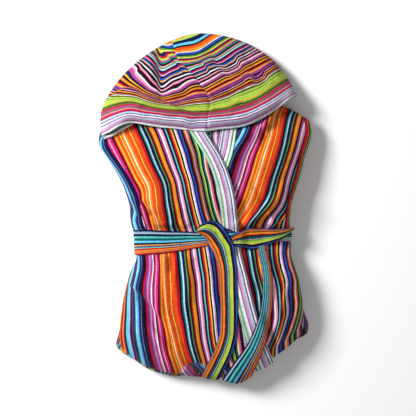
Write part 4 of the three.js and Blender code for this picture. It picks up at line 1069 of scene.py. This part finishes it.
class GOWN_OT_sleeves(Operator):
    """Make the sleeves' folded edges and the back's inside at the neck."""

    bl_idname = "gown.sleeves"
    bl_label = "Sleeves and back"

    def execute(self, context):
        rows = front_rows(240)
        for side, name, start in ((-1, "sleeve_left_cloth", "sea"), (1, "sleeve_right_cloth", "flag")):
            here = rows[plan(side, rows)[1] > SLEEVE_END]
            t = np.linspace(0, 1, 25)[None, :]
            seam = (front_end(side, here) + side * 0.004)[:, None]
            across = mix(side * TURNED, seam, crowd(t, 0.5))
            along = np.broadcast_to(here[:, None], across.shape)
            near_seam = ease((np.abs(seam) + 0.012 - np.abs(across)) / 0.012)
            points = on_skin(across, along, TERRY - 1.2 * near_seam)
            reach = arc_lengths(points, 1)
            from_seam = weave_start(start) + (reach[:, -1:] - reach)
            cloth_sheet(name, points, np.stack([from_seam, mean_lengths(points)], -1))
        self.neck(rows[(rows < 0.97) & (rows > 0.52)])
        return {"FINISHED"}

    def neck(self, rows):
        inner = across_line(lambda y: np.minimum(front_edge_at(y), under_edge_at(y)) - 34, rows)
        outer = under_edge(rows) - share_of(1, rows)
        across = mix(inner[:, None], outer[:, None], np.linspace(0, 1, 30)[None, :])
        along = np.broadcast_to(rows[:, None], across.shape)
        points = on_skin(across, along, TERRY)
        x, y = plan(across, along)
        cloth_sheet("back_neck_cloth", points, np.stack([x + weave_start("mixed"), y], -1))


# ---- The belt ----
BELT_STEPS = 26  # across the belt
TAIL_ROUNDS = 0.012  # over what share of its length a tail's corners are rounded off
TAIL_OFF = 1.4  # how far the lower tail lies off the fronts
TAIL_PLEATS = 0.35
KNOT = {"low": -116, "high": -38, "left": -20}  # where the upper tail lies over the belt
TURN_FROM = 126  # from here on the right stretch lies over the belt's turn


def belt_profile(v):
    """The height of a doubled strip over what it lies on, from one edge to the other."""
    return BELT_CLOTH * (1 - 0.5 * np.abs(2 * v - 1) ** 4) + 0.9 * np.sin(np.pi * v)


def belt_strip(name, across, along, lift, start, pleats, over=None):
    """A closed strip of belt; across and along are grids with its width along their rows."""
    v = np.linspace(0, 1, across.shape[1])[None, :]
    x, y = plan(across, along) if over is None else over
    height = belt_profile(v)
    creases = pleats * (np.sin(v * 17 + x / 60) * 0.5 + np.sin(v * 29 - x / 37) * 0.35)
    points = on_skin(across, along, cloth_top(x, y) + lift + height + creases, broad_folds)
    woven_at = weave_start(start) + 1 + (2 * BELT_HALF - 2) * v * np.ones_like(x)
    cloth_map = np.stack([woven_at, mean_lengths(points)], -1)
    cloth_sheet(name, points, cloth_map, height - 0.25)


def belt_across(name, rows, columns, lift, start, pleats):
    """A stretch of belt across the front, between the upper and the lower line of a table."""
    top, bottom = smooth(rows, "x", "top"), smooth(rows, "x", "bottom")
    across = np.broadcast_to(columns[:, None], (len(columns), BELT_STEPS))
    x = plan(columns, 0 * columns)[0]
    v = np.linspace(0, 1, BELT_STEPS)[None, :]
    y = mix(top(x)[:, None], bottom(x)[:, None], v)
    along = along_at(y, across)
    belt_strip(name, across, along, lift(plan(across, along)[0]), start, pleats)


def path_edges(rows):
    """The two edges of a strip that is given by its middle line and its width."""
    way = unit(np.stack([np.gradient(rows["x"]), np.gradient(rows["y"])], -1))
    aside = way * rows["width"][:, None] / 2
    x, y = rows["x"], rows["y"]
    outer, inner = (x - aside[:, 1], y + aside[:, 0]), (x + aside[:, 1], y - aside[:, 0])
    return dict(zip(("outer_x", "outer_y", "inner_x", "inner_y"), (*outer, *inner)))


def belt_tail(name, edges, stations, lift, start):
    """A tail between two edges, from the share 0 of its length at the knot to 1 at its end."""
    middle = np.stack([edges["outer_x"] + edges["inner_x"], edges["outer_y"] + edges["inner_y"]], -1) / 2
    reach = np.append(0, np.cumsum(np.linalg.norm(np.diff(middle, axis=0), axis=1)))
    edges = dict(edges, share=reach / reach[-1])
    v = np.linspace(0, 1, BELT_STEPS)[None, :]
    names = ("outer_x", "outer_y", "inner_x", "inner_y")
    line = {name: flowing(edges, "share", name, TAIL_ROUNDS)(stations)[:, None] for name in names}
    x = mix(line["inner_x"], line["outer_x"], v)
    y = mix(line["inner_y"], line["outer_y"], v)
    across, along = shares_over(x, y)
    past = np.clip((bottom_at(across) - y) / PAST_RIM, 0, 1)
    along = np.where(past > 0, -1 - (TURNED - 1) * past, along)
    belt_strip(name, across, along, lift(x, y), start, TAIL_PLEATS, (x, y))


def knot_lift(x, y):
    """Over the belt's own stretches, and down behind its upper edge."""
    on_belt = ease((y - KNOT["low"]) / 16) * ease((KNOT["high"] - y) / 12) * ease((x - KNOT["left"]) / 8)
    return BELT_LIFT + (BELT_CLOTH + 2) * on_belt


def low_tail_lift(x, y):
    """The lower tail lies a little off the fronts."""
    return BELT_LIFT + TAIL_OFF


def lifted(x):
    """A stretch that lies evenly on the cloth."""
    return BELT_LIFT


def over_the_turn(x):
    """The right stretch's end lies over the turn of the belt."""
    return BELT_LIFT + (BELT_CLOTH + 2) * ease((x - TURN_FROM) / 24)


class GOWN_OT_belt(Operator):
    """Make the belt's stretches, its way round the bundle and its two tails."""

    bl_idname = "gown.belt"
    bl_label = "Belt"

    def execute(self, context):
        line = float(along_at(BELT_AT, 0.0))
        columns = mix(-TURNED, float(over_edge(np.array([line]))[0]), crowd(np.linspace(0, 1, 110)))
        columns = columns[columns < across_at(26, line)]
        belt_across("belt_left_cloth", BELT_TOP_LEFT, columns, lifted, "round", 0.7)
        columns = np.linspace(across_at(54, line), across_at(186, line), 90)
        belt_across("belt_right_cloth", BELT_TOP_RIGHT, columns, over_the_turn, "belt", 0.5)
        columns = np.linspace(across_at(38, line), across_at(74, line), 30)
        belt_across("belt_behind_cloth", BELT_BEHIND, columns, lifted, "sea", 0.3)
        columns = mix(TURNED, across_at(157, line), crowd(np.linspace(0, 1, 40), 0.4))
        belt_across("belt_turn_cloth", BELT_TURN, columns, lifted, "sky", 0.4)
        self.round_the_back()
        # The tails have more rows by the knot and at their ends, where they bend most.
        parts = (np.linspace(0, 0.34, 90), np.linspace(0.34, 0.88, 90)[1:], np.linspace(0.88, 1, 44)[1:])
        stations = np.concatenate(parts)
        belt_tail("tail_over_cloth", TAIL_OVER, stations, knot_lift, "belt")
        belt_tail("tail_under_cloth", path_edges(TAIL_UNDER), stations, low_tail_lift, "round")
        return {"FINISHED"}

    def round_the_back(self):
        """The belt's way down both sides and under the bundle."""
        left, right = float(left_at(BELT_AT)) - 4.6, float(right_at(BELT_AT)) + 4.6
        low, high, corner = BELT_CLOTH / 2 + 0.1, RIM_HEIGHT - 3.0, 9.0
        quarter = np.radians(np.linspace(0, 90, 9))
        down = np.stack([np.full(9, left), np.linspace(high, low + corner, 9)], -1)
        turn = np.stack([left + corner * (1 - np.cos(quarter)), low + corner * (1 - np.sin(quarter))], -1)
        half = np.concatenate([down[:-1], turn])
        mirrored = np.stack([left + right - half[::-1, 0], half[::-1, 1]], -1)
        flat = np.linspace(half[-1], mirrored[0], 60)[1:-1]
        path = np.concatenate([half, flat, mirrored])
        way = unit(np.gradient(path, axis=0))
        out = np.stack([way[:, 1], -way[:, 0]], -1)
        v = np.linspace(-1, 1, 17)
        bulge = BELT_CLOTH / 2 * (1 - 0.5 * np.abs(v) ** 5)
        centre = path[:, None, :] + out[:, None, :] * bulge[None, :, None]
        y = BELT_AT + v * (BELT_HALF - 3) + 1.2 * np.sin(centre[..., 0] / 38)
        points = np.stack([centre[..., 0], y, np.maximum(centre[..., 1], 0.02)], -1)
        start = weave_start("round")
        woven_at = start + (v + 1) / 2 * 2 * BELT_HALF * np.ones_like(y)
        cloth_map = np.stack([woven_at, mean_lengths(points)], -1)
        cloth_sheet("belt_round_back", points, cloth_map, np.broadcast_to(2 * bulge - 0.1, y.shape), DOWN)


# ---- The hood ----
grain = {name: smooth(HOOD_GRAIN, "rise", name) for name in HOOD_GRAIN if name != "rise"}
hood_crown_at = smooth(HOOD_CROWN, "y", "height")
hood_rim_left = smooth(HOOD_RIM, "y", "left")
hood_rim_right = smooth(HOOD_RIM, "y", "right")
tuck_line = smooth(HOOD_TUCK, "x", "y")
tuck_hides = smooth(HOOD_TUCK, "x", "hidden")
RIGHT_CUT = 21  # how far the right half's stripes run ahead of the left one's at the crown
NOSE = 3.2  # half the thickness of the brim's turned edge
HALF_WIDTH = 230  # of the bundle
BRIM_ROWS = 14
BRIM_STARTS = 12  # how far into the pale stripes the brim's edge lies
DROP_ENDS = 0.09  # how far up the hood its brim turns down, as a share
HOOD_COLUMNS = 100
HOOD_ROWS = 110
DROP_ROWS = 16  # of them in the brim's drop
DROP_LOOKS = 0.1  # share of the rise in which the drop is worked out
SEAM_DIP = 2.2  # how far the cloth dips where the two halves are sewn
SEAM_REACH = 3.2
FACING = 26  # how far the brim's facing goes in under it


def dome_side(x):
    """Half the hood's width on the side where a place is, and the power of its outline there."""
    left = x < HOOD_X
    side = np.where(left, HOOD_SIDES["left"], HOOD_SIDES["right"])
    return side, np.where(left, HOOD_POWERS["left"], HOOD_POWERS["right"])


def dome_share(x, y):
    """0 at the middle of the hood and 1 on its outline."""
    side, power = dome_side(x)
    flat, steep = np.abs(x - HOOD_X) / side, np.maximum(0, y - HOOD_Y) / HOOD_TOP
    return (flat**power + steep**power) ** (1 / power)


def onto_dome(x, y):
    """Brings a place back to the hood's outline where it lies past it."""
    share = np.maximum(1, dome_share(x, y))
    return HOOD_X + (x - HOOD_X) / share, np.where(y > HOOD_Y, HOOD_Y + (y - HOOD_Y) / share, y)


def out_to_dome(x, y, weight):
    """Moves a place out to the hood's outline, as far as the weight says."""
    share = mix(1, np.minimum(1, dome_share(x, y)), weight)
    return HOOD_X + (x - HOOD_X) / share, HOOD_Y + (y - HOOD_Y) / share


def over_tuck(x, y):
    """How far above the tuck's line a place is, and whether it is past the line."""
    above = y - tuck_line(x)
    return above, step_up(above / 0.8)


def hood_tuck(x, y):
    """The brim's roll below the tuck, and the dip above it."""
    above, past = over_tuck(x, y)
    shown = ease((-4 - x) / 50) * ease((x + 224) / 20)
    roll = ROLL_HEIGHT * np.exp(-((above / ROLL_WIDTH) ** 2)) * (1 - past)
    return shown * (roll - TUCK_DEPTH * np.exp(-((above / TUCK_WIDTH) ** 2)) * past)


def hood_height(x, y):
    """How high the hood's cloth lies, from its rim up over its crown."""
    share = np.clip(dome_share(x, y), 0, 1)
    rim = mix(hood_rim_left(y), hood_rim_right(y), ease((x + 120) / 240))
    dome = (1 - share**4) ** (1 / ROUND_POWER)
    folds = fold_heights(HOOD_FOLDS, x, y) + fold_heights(HOOD_CREASES, x, y) * CREASE_DEPTH
    return mix(rim, hood_crown_at(y), dome) + (folds + hood_tuck(x, y)) * ease(dome * 1.5)


def hood_weave(x, y, cloth, side):
    """The place in the weave, from how far over the cloth a place is from the brim."""
    above, past = over_tuck(x, y)
    hidden = tuck_hides(x) * past * np.exp(-((above / 45) ** 2))
    other_cut = RIGHT_CUT * ease((cloth - 66) / 120) if side == "right" else 0
    wavy = 0.8 * np.sin(x / 17 + y / 41) + 0.6 * np.sin(x / 9 - y / 23)
    start = weave_start("pale") + BRIM_STARTS
    return start + cloth + fold_heights(HOOD_SWAYS, x, y) + hidden + other_cut + wavy


def hood_plan(side, out, rise):
    """Where a place on a hood half is, seen from above: out from the seam, and up from the brim."""
    start_x = grain["seam_x"](rise) + (-0.3 if side == "left" else 0.3)
    start_y = grain["seam_y"](rise)
    end_x, end_y = onto_dome(grain[f"{side}_x"](rise), grain[f"{side}_y"](rise))
    # At the crown the cloth runs all the way out to the hood's outline.
    start_x, start_y = out_to_dome(start_x, start_y, ease((rise - 0.93) / 0.07))
    end_x, end_y = out_to_dome(end_x, end_y, ease((rise - 0.86) / 0.08))
    dip = grain[f"{side}_dip"](rise) * np.sin(np.pi * np.clip(out, 0, 1)) ** 1.5
    if side == "left":
        dip = dip + grain["left_puff"](rise) * np.exp(-(((out - 0.76) / 0.2) ** 2))
    return onto_dome(mix(start_x, end_x, out), mix(start_y, end_y, out) + dip)


def front_height(x, y):
    """How high the fronts' cloth reaches at a place."""
    across, along = shares_over(x, y)
    return on_skin(across, along, cloth_top(x, y))[..., 2]


def brim_drop(x, y, rise):
    """The brim turns down and lies on the fronts, and stands open at its left tip."""
    down = np.maximum(0, hood_height(x, y) - 2 * NOSE - 0.6 - front_height(x, y))
    closed = ease((x + 196) / 50) * ease((185 - x) / 40)
    return np.minimum(down, BRIM_TURN) * closed * (1 - np.minimum(1, rise / DROP_ENDS)) ** 1.7


def hood_half(side):
    """The points of a hood half, and how far over the cloth each row is from the brim."""
    out = 1 - crowd(1 - np.linspace(0, 1, HOOD_COLUMNS), 0.12)[None, :]
    above = mix(DROP_ENDS, 1, 1 - crowd(1 - np.linspace(0, 1, HOOD_ROWS), 0.6))
    rise = np.concatenate([np.linspace(0, DROP_ENDS, DROP_ROWS)[:-1], above])[:, None]
    x, y = hood_plan(side, np.broadcast_to(out, (len(rise), out.shape[1])), rise * np.ones_like(out))
    z = hood_height(x, y)
    low = int((rise[:, 0] < DROP_LOOKS).sum())
    z[:low] -= brim_drop(x[:low], y[:low], rise[:low] * np.ones_like(out))
    seam = np.hypot(x - x[:, :1], y - y[:, :1])
    z -= SEAM_DIP * np.exp(-((seam / SEAM_REACH) ** 2))
    points = np.stack([x, y, z], -1)
    return points, np.broadcast_to(grain["cloth"](rise), x.shape)


def rolled_brim(points, cloth):
    """Adds rows before the brim's edge that turn under it and go back in."""
    edge = points[0]
    outward = unit(np.stack([-np.gradient(edge[:, 1]), np.gradient(edge[:, 0]), 0 * edge[:, 0]], -1))
    outward *= -np.sign(((points[4] - edge) * outward).sum())
    from_end = np.linalg.norm(edge - edge[-1], axis=1)
    turn = np.radians(np.linspace(180, 0, BRIM_ROWS + 1)[:-1])[:, None, None]
    slim = (0.15 + 0.85 * ease(from_end / 30))[None, :, None]
    nose = edge + outward * NOSE * slim * np.sin(turn) - np.array([0, 0, NOSE]) * (1 - np.cos(turn))
    narrow = (0.12 + 0.88 * ease(from_end / 60))[None, :, None]
    depth = np.linspace(FACING, 0, 8)[:-1][:, None, None] * narrow
    under = edge - outward * depth - np.array([0, 0, 2 * NOSE])
    # The facing lies close under the brim, and never rises through it.
    inward = np.hypot(*(points[:40] - edge)[..., :2].mean(1).T)
    over = [np.interp(depth[:, k, 0], inward, points[:40, k, 2]) for k in range(points.shape[1])]
    over = np.stack(over, 1)
    under[..., 2] = np.minimum(under[..., 2] + 5 * depth[..., 0] / FACING, over - 2 * NOSE)
    rolled = np.concatenate([under, nose, points])
    rolled[..., 0], rolled[..., 1] = onto_dome(rolled[..., 0], rolled[..., 1])
    back = -arc_lengths(rolled[: len(under) + len(nose) + 1][::-1], 0).mean(1)[::-1][:-1]
    across = np.concatenate([back[:, None] * np.ones(points.shape[1]), cloth])
    return rolled, across


def curled_rim(points, across):
    """Adds columns past the hood's outline that curl in below it."""
    radius = 6
    edge = points[:, -1:]
    way = edge[..., :2] - np.array([HOOD_X, HOOD_Y])
    way[..., 1] = np.maximum(way[..., 1], 0)
    way = unit(way)
    turn = np.radians(np.linspace(0, 85, 8)[1:])[None, :, None]
    flat = edge[..., :2] - way * radius * (1 - np.cos(turn))
    z = edge[..., 2:] - radius * np.sin(turn)
    curl = np.concatenate([flat, z], -1)
    wide = np.concatenate([across, np.repeat(across[:, -1:], curl.shape[1], 1)], 1)
    return np.concatenate([points, curl], 1), wide


def rolled_cloth(rows, height, share):
    """A small roll of cloth that lies on a front between two edges: its places, and how it swells."""
    outer, inner = smooth(rows, "x", "outer"), smooth(rows, "x", "inner")
    x = np.linspace(rows["x"][0], rows["x"][-1], 60)[:, None] * np.ones(24)
    v = np.linspace(0, 1, 24)[None, :] * np.ones_like(x)
    y = mix(outer(x), inner(x), v)
    lying = front_height(x, np.maximum(y, bottom_at(x / HALF_WIDTH) + 2)) + SEAM_GAP
    ends = ease((x - x.min()) / 8 + 0.2) * ease((x.max() - x) / 14 + 0.2)
    return x, y, v, lying, height * ends * np.sin(np.pi * np.clip(v / share, 0, 1)) ** 0.6


class GOWN_OT_hood(Operator):
    """Make the hood's halves, with their turned brim."""

    bl_idname = "gown.hood"
    bl_label = "Hood"

    def execute(self, context):
        for side in ("left", "right"):
            points, cloth = curled_rim(*rolled_brim(*hood_half(side)))
            across = hood_weave(points[..., 0], points[..., 1], cloth, side)
            cloth_sheet(f"hood_{side}_cloth", points, np.stack([across, arc_lengths(points, 1)], -1))
        self.lip()
        return {"FINISHED"}

    def lip(self):
        """The turned edge of the brim, which rolls out below its left end."""
        x, y, v, lying, roll = rolled_cloth(BRIM_LIP, 7.5, 0.55)
        under = hood_height(x, y) - 2 * NOSE - 1.0
        z = np.minimum(lying + TERRY + roll, np.maximum(under, lying + TERRY))
        cloth_map = np.stack([weave_start("pale") + 14 - 9 * v, x], -1)
        cloth_sheet("brim_lip_cloth", np.stack([x, y, z], -1), cloth_map)


# ---- Hidden layers: their folded edges and their underside ----
LAYER_CORNERS = table("x y reach spread", (-190, -312, 12, 30), (228, -272, 18, 32), (-80, -368, 11, 80))
FOLD_INSET = 34  # how far a folded edge goes in between its neighbours
NOSE_STEPS = 15  # round the nose of a fold
INSET_STEPS = 8  # from the nose in
HOOD_INSET = 6  # how far the hood's hidden layers lie inside its outline
HOOD_HALF = 184  # half the width of those layers
EDGE_CLOTH = 0.92  # share of the terry's thickness that is left in a pressed fold
BELT_PRESS = 5  # how far the belt presses a folded edge in


def bundle_loop(count=560):
    """The bundle's outline at its rim, evenly stepped."""
    t = np.linspace(-1, 1, count // 4, endpoint=False)
    one = np.ones_like(t)
    across = np.concatenate([t, one, -t, -one])
    along = np.concatenate([-one, t, one, -t])
    return np.stack(plan(across, along), -1)


def hood_low(x):
    """The hood's hidden layers start a little above the shoulders."""
    return top_at(np.clip(x / 240, -1, 1)) + 7


def hood_high(x):
    side, power = dome_side(x)
    share = np.clip(np.abs(x - HOOD_X) / (side - HOOD_INSET), 0, 1)
    return HOOD_Y + HOOD_TOP * (1 - share**power) ** (1 / power) - HOOD_INSET


def hood_loop(count=360):
    x = HOOD_X + HOOD_HALF * np.cos(np.linspace(0, np.pi, count // 2))
    low = np.stack([x, hood_low(x)], -1)
    high = np.stack([x, np.maximum(hood_high(x), hood_low(x) + 4)], -1)
    return np.concatenate([low[::-1], high])


def resample(loop, count):
    """A closed line's points, at even steps."""
    closed = np.concatenate([loop, loop[:1]])
    reach = np.append(0, np.cumsum(np.linalg.norm(np.diff(closed, axis=0), axis=1)))
    at = np.linspace(0, reach[-1], count, endpoint=False)
    return np.stack([np.interp(at, reach, closed[:, k]) for k in range(2)], -1)


def corner_reach(points):
    """How much further out the layers reach at their corners."""
    total = np.zeros(len(points))
    for x, y, reach, spread in zip(*LAYER_CORNERS.values()):
        total += reach * np.exp(-((points[:, 0] - x) ** 2 + (points[:, 1] - y) ** 2) / spread**2)
    return total


def folded_edge(name, loop, middle, half, reach, uneven, start, pinched):
    """Cloth folded back on itself round a loop: in at the top, round a soft nose, and in again below."""
    count = len(loop)
    ahead = np.roll(loop, -1, 0) - np.roll(loop, 1, 0)
    outward = unit(np.stack([ahead[:, 1], -ahead[:, 0]], -1))
    centre = loop.mean(0)
    outward *= np.sign(((loop - centre) * outward).sum())
    radial = unit(loop - centre)
    turn = np.radians(np.linspace(90, -90, NOSE_STEPS))
    inset = np.linspace(FOLD_INSET, 0, INSET_STEPS)[:-1]
    depth = np.concatenate([-inset, half * np.cos(turn), -inset[::-1]])
    level = np.concatenate([inset * 0 + half, half * np.sin(turn), inset * 0 - half])
    angle = np.linspace(0, 2 * np.pi, count, endpoint=False)
    wander = 0.8 * np.sin(angle * 7 + uneven) + 0.6 * np.sin(angle * 17 + 3 * uneven)
    wander = wander + 0.4 * np.sin(angle * 31)
    out = (reach + wander)[:, None] + depth[None, :]
    near = ease((BELT_HALF + 12 - np.abs(loop[:, 1] - BELT_AT)) / 14)[:, None] * pinched
    out = out - BELT_PRESS * near
    inner = np.minimum(out + half, 0)
    flat_points = loop[:, None, :] + radial[:, None, :] * inner[..., None]
    flat_points = flat_points + outward[:, None, :] * (out - inner)[..., None]
    nose = np.cos(np.radians(90 * np.clip(level / half, -1, 1)))
    sway = 0.7 * np.sin(angle * 5 + 2 * uneven)[:, None] * nose
    z = middle + level[None, :] + sway
    z = mix(z, np.maximum(z, BELT_CHANNEL + z * 0.8), near)
    points = np.concatenate([flat_points, z[..., None]], -1)
    points = np.concatenate([points, points[:1]])
    arc = np.append(0, np.cumsum(np.hypot(np.diff(depth), np.diff(level))))
    base = np.concatenate([loop, loop[:1]])
    face = np.concatenate([outward, outward[:1]])
    cloth_map = base[:, None, :] + arc[None, :, None] * face[:, None, :]
    cloth_map[..., 0] += weave_start(start)
    cloth_ring(name, points, cloth_map, TERRY * EDGE_CLOTH)


def cloth_ring(name, points, cloth_map, thickness):
    """A closed band of cloth round a loop: a grid whose last row repeats its first."""
    grid = points[:-1]
    around = np.roll(grid, -1, 0) - np.roll(grid, 1, 0)
    normals = unit(np.cross(np.gradient(grid, axis=1), around))
    level = grid[..., :2] - grid[..., :2].mean((0, 1))
    nose = grid.shape[1] // 2
    if (normals[:, nose, :2] * level[:, nose]).sum() < 0:
        normals = -normals
    inner = grid - normals * thickness
    inner[..., 2] = np.maximum(inner[..., 2], grid[..., 2].min() + 0.2)
    inner = np.concatenate([inner, inner[:1]])
    rows, columns = points.shape[:2]
    section = np.concatenate([points, inner[:, ::-1]], 1)
    maps = np.concatenate([cloth_map, cloth_map[:, ::-1]], 1)
    number = np.arange(rows * 2 * columns).reshape(rows, 2 * columns)
    # The section is closed, and the ring's first and last rows share their points.
    linked = number.copy()
    linked[-1] = number[0]
    cells = grid_cells(np.concatenate([linked, linked[:, :1]], 1))
    flat = section.reshape(-1, 3)
    a, b, c = flat[cells[:, 0]], flat[cells[:, 1]], flat[cells[:, 2]]
    if (np.cross(b, c) * a).sum() < 0:
        cells = cells[:, ::-1]
    used = number[:-1].size
    cloth_piece(name, flat[:used], cells.tolist(), maps.reshape(-1, 2)[:used])


UNDER_CREASES = table(
    FOLD_COLUMNS,
    (-120, 120, -60, -40, 8, 1.6, 8, 10), (60, 150, 90, -30, -6, 1.5, 9, 8),
    (-150, -130, -110, -300, 6, 1.6, 8, 9), (20, -120, 60, -320, -8, 1.5, 10, 8),
    (150, -110, 170, -240, 4, 1.4, 8, 8), (-40, 60, 20, 190, 5, 1.3, 9, 9),
)


class GOWN_OT_layers(Operator):
    """Make the folded layers that show at the bundle's edges, and its underside."""

    bl_idname = "gown.layers"
    bl_label = "Folded layers"

    def execute(self, context):
        loop = resample(bundle_loop(), 440)
        corners = corner_reach(loop)
        for name, middle, half, share, reach, uneven, start in (
            ("folded_edge_top", 18.8, 3.7, 0.8, -3.4, 0.0, "cool"),
            ("folded_edge_middle", 11.0, 3.6, 1.0, -3.0, 2.1, "flag"),
            ("folded_edge_low", 4.0, 3.5, 0.8, -3.2, 4.3, "berry"),
        ):
            folded_edge(name, loop, middle, half, reach + share * corners, uneven, start, 1.0)
        self.underside()
        self.hem_roll()
        hood = resample(hood_loop(), 360)
        folded_edge("hood_edge_top", hood, 9.9, 2.9, -3.6, 9.9, "mixed", 0.0)
        folded_edge("hood_edge_low", hood, 3.4, 2.9, -3.2, 3.4, "hot", 0.0)
        return {"FINISHED"}

    def hem_roll(self):
        """The hem's turned edge, which rolls up over the front beside the tails."""
        x, y, v, lying, roll = rolled_cloth(HEM_ROLL, 4.0, 0.95)
        points = np.stack([x, y, lying + TERRY + roll - 7 * ease((0.35 - v) / 0.35)], -1)
        slant = weave_start("pale") + 60 + x * 0.8 + y * 0.6
        cloth_sheet("hem_roll_cloth", points, np.stack([slant, v * 30], -1))

    def underside(self):
        """The lowest layers, flat where they rest, with a channel for the belt."""
        t = 2 * crowd_both(np.linspace(0, 1, 71)) - 1
        across, along = np.meshgrid(t, 2 * crowd_both(np.linspace(0, 1, 111)) - 1)
        x, y = plan(across, along)
        x, y = x - 10 * across, y - 10 * along
        pressed = ease((BELT_HALF + 7 - np.abs(y - BELT_AT)) / 6)
        z = RESTS_AT + fold_heights(UNDER_CREASES, x, y) * (1 - pressed) + BELT_CHANNEL * pressed
        points = np.stack([x, y, np.maximum(z, RESTS_AT)], -1)
        cloth_map = np.stack([x + weave_start("edge"), y], -1)
        cloth_sheet("folded_underside", points, cloth_map, UNDERSIDE_CLOTH, DOWN)
        x = (-6 + HOOD_HALF * np.cos(np.linspace(np.pi, 0, 90)))[:, None] * np.ones(50)
        v = np.linspace(0, 1, 50)[None, :]
        y = mix(hood_low(x) + 4, np.maximum(hood_high(x) - HOOD_INSET, hood_low(x) + 5), v)
        points = np.stack([x, y, RESTS_AT + 0.8 * np.sin(x / 40) ** 2 * np.sin(y / 30) ** 2], -1)
        cloth_map = np.stack([y + weave_start("hot"), x], -1)
        cloth_sheet("hood_underside", points, cloth_map, UNDERSIDE_CLOTH, DOWN)


# ---- The stage ----
FRAME_WIDTH = 0.9152  # what the camera takes in, at the gown's middle height
FRAME_CENTRE = (0.0077, -0.0044)
MIDDLE_HEIGHT = 0.05
FLOOR_SIZE = 8
AIM = (0, 0, 0.04)  # where both lights point
KEY_AT, KEY_SIZE = (-2.5, 1.3, 2.2), 1.15
FILL_AT, FILL_SIZE = (1.4, -1.2, 3.4), 2.4


class GOWN_OT_stage(Operator):
    """Make the floor, the light and the camera."""

    bl_idname = "gown.stage"
    bl_label = "Stage"

    def execute(self, context):
        stage = context.scene.gown_stage
        bpy.ops.object.select_all(action="DESELECT")
        bpy.ops.mesh.primitive_plane_add(size=FLOOR_SIZE, location=(0, 0, 0))
        floor = context.object
        floor.name = "floor"
        paper = bpy.data.materials.new("Floor paper")
        paper.use_nodes = True
        shader = paper.node_tree.nodes["Principled BSDF"]
        shader.inputs["Base Color"].default_value = (*stage.floor, 1)
        shader.inputs["Roughness"].default_value = 0.9
        floor.data.materials.append(paper)
        self.light("key", KEY_AT, KEY_SIZE, stage.key)
        self.light("fill", FILL_AT, FILL_SIZE, stage.fill)
        world = bpy.data.worlds.new("Surroundings")
        world.use_nodes = True
        backdrop = world.node_tree.nodes["Background"]
        backdrop.inputs["Color"].default_value = (1, 1, 1, 1)
        backdrop.inputs["Strength"].default_value = stage.sky
        context.scene.world = world
        context.scene.view_settings.view_transform = "Standard"
        self.camera(context, stage.height)
        return {"FINISHED"}

    def light(self, name, place, size, power):
        lamp = bpy.data.lights.new(name, "AREA")
        lamp.size = size
        lamp.energy = power
        held = bpy.data.objects.new(name, lamp)
        held.location = place
        aim = np.array(AIM) - np.array(place)
        tilt = math.atan2(math.hypot(aim[0], aim[1]), -aim[2])
        held.rotation_euler = (tilt, 0, math.atan2(aim[1], aim[0]) - math.pi / 2)
        bpy.context.scene.collection.objects.link(held)

    def camera(self, context, height):
        lens = bpy.data.cameras.new("camera")
        lens.sensor_width = 36
        lens.lens = lens.sensor_width * (height - MIDDLE_HEIGHT) / FRAME_WIDTH
        held = bpy.data.objects.new("camera", lens)
        held.location = (*FRAME_CENTRE, height)
        context.scene.collection.objects.link(held)
        context.scene.camera = held


class GOWN_PT_panel(Panel):
    """Lists the gown's pieces, finish and stage."""

    bl_idname = "GOWN_PT_panel"
    bl_label = "Dressing gown"
    bl_space_type = "VIEW_3D"
    bl_region_type = "UI"
    bl_category = "Gown"

    def draw(self, context):
        for step in STEPS:
            self.layout.operator(step.bl_idname)
        for group in (context.scene.gown_cloth, context.scene.gown_stage, context.scene.gown_yarns):
            box = self.layout.box()
            for name in type(group).__annotations__:
                box.prop(group, name)


STEPS = (
    GOWN_OT_stage,
    GOWN_OT_layers,
    GOWN_OT_sleeves,
    GOWN_OT_fronts,
    GOWN_OT_bands,
    GOWN_OT_belt,
    GOWN_OT_hood,
)
GROUPS = (GownYarns, GownCloth, GownStage)
CLASSES = (*GROUPS, *STEPS, GOWN_PT_panel)


def register():
    for made in CLASSES:
        bpy.utils.register_class(made)
    bpy.types.Scene.gown_yarns = PointerProperty(type=GownYarns)
    bpy.types.Scene.gown_cloth = PointerProperty(type=GownCloth)
    bpy.types.Scene.gown_stage = PointerProperty(type=GownStage)


def unregister():
    for name in ("gown_stage", "gown_cloth", "gown_yarns"):
        delattr(bpy.types.Scene, name)
    for made in reversed(CLASSES):
        bpy.utils.unregister_class(made)


def main():
    register()
    for step in STEPS:
        group, name = step.bl_idname.split(".")
        getattr(getattr(bpy.ops, group), name)()


if __name__ == "__main__":
    main()
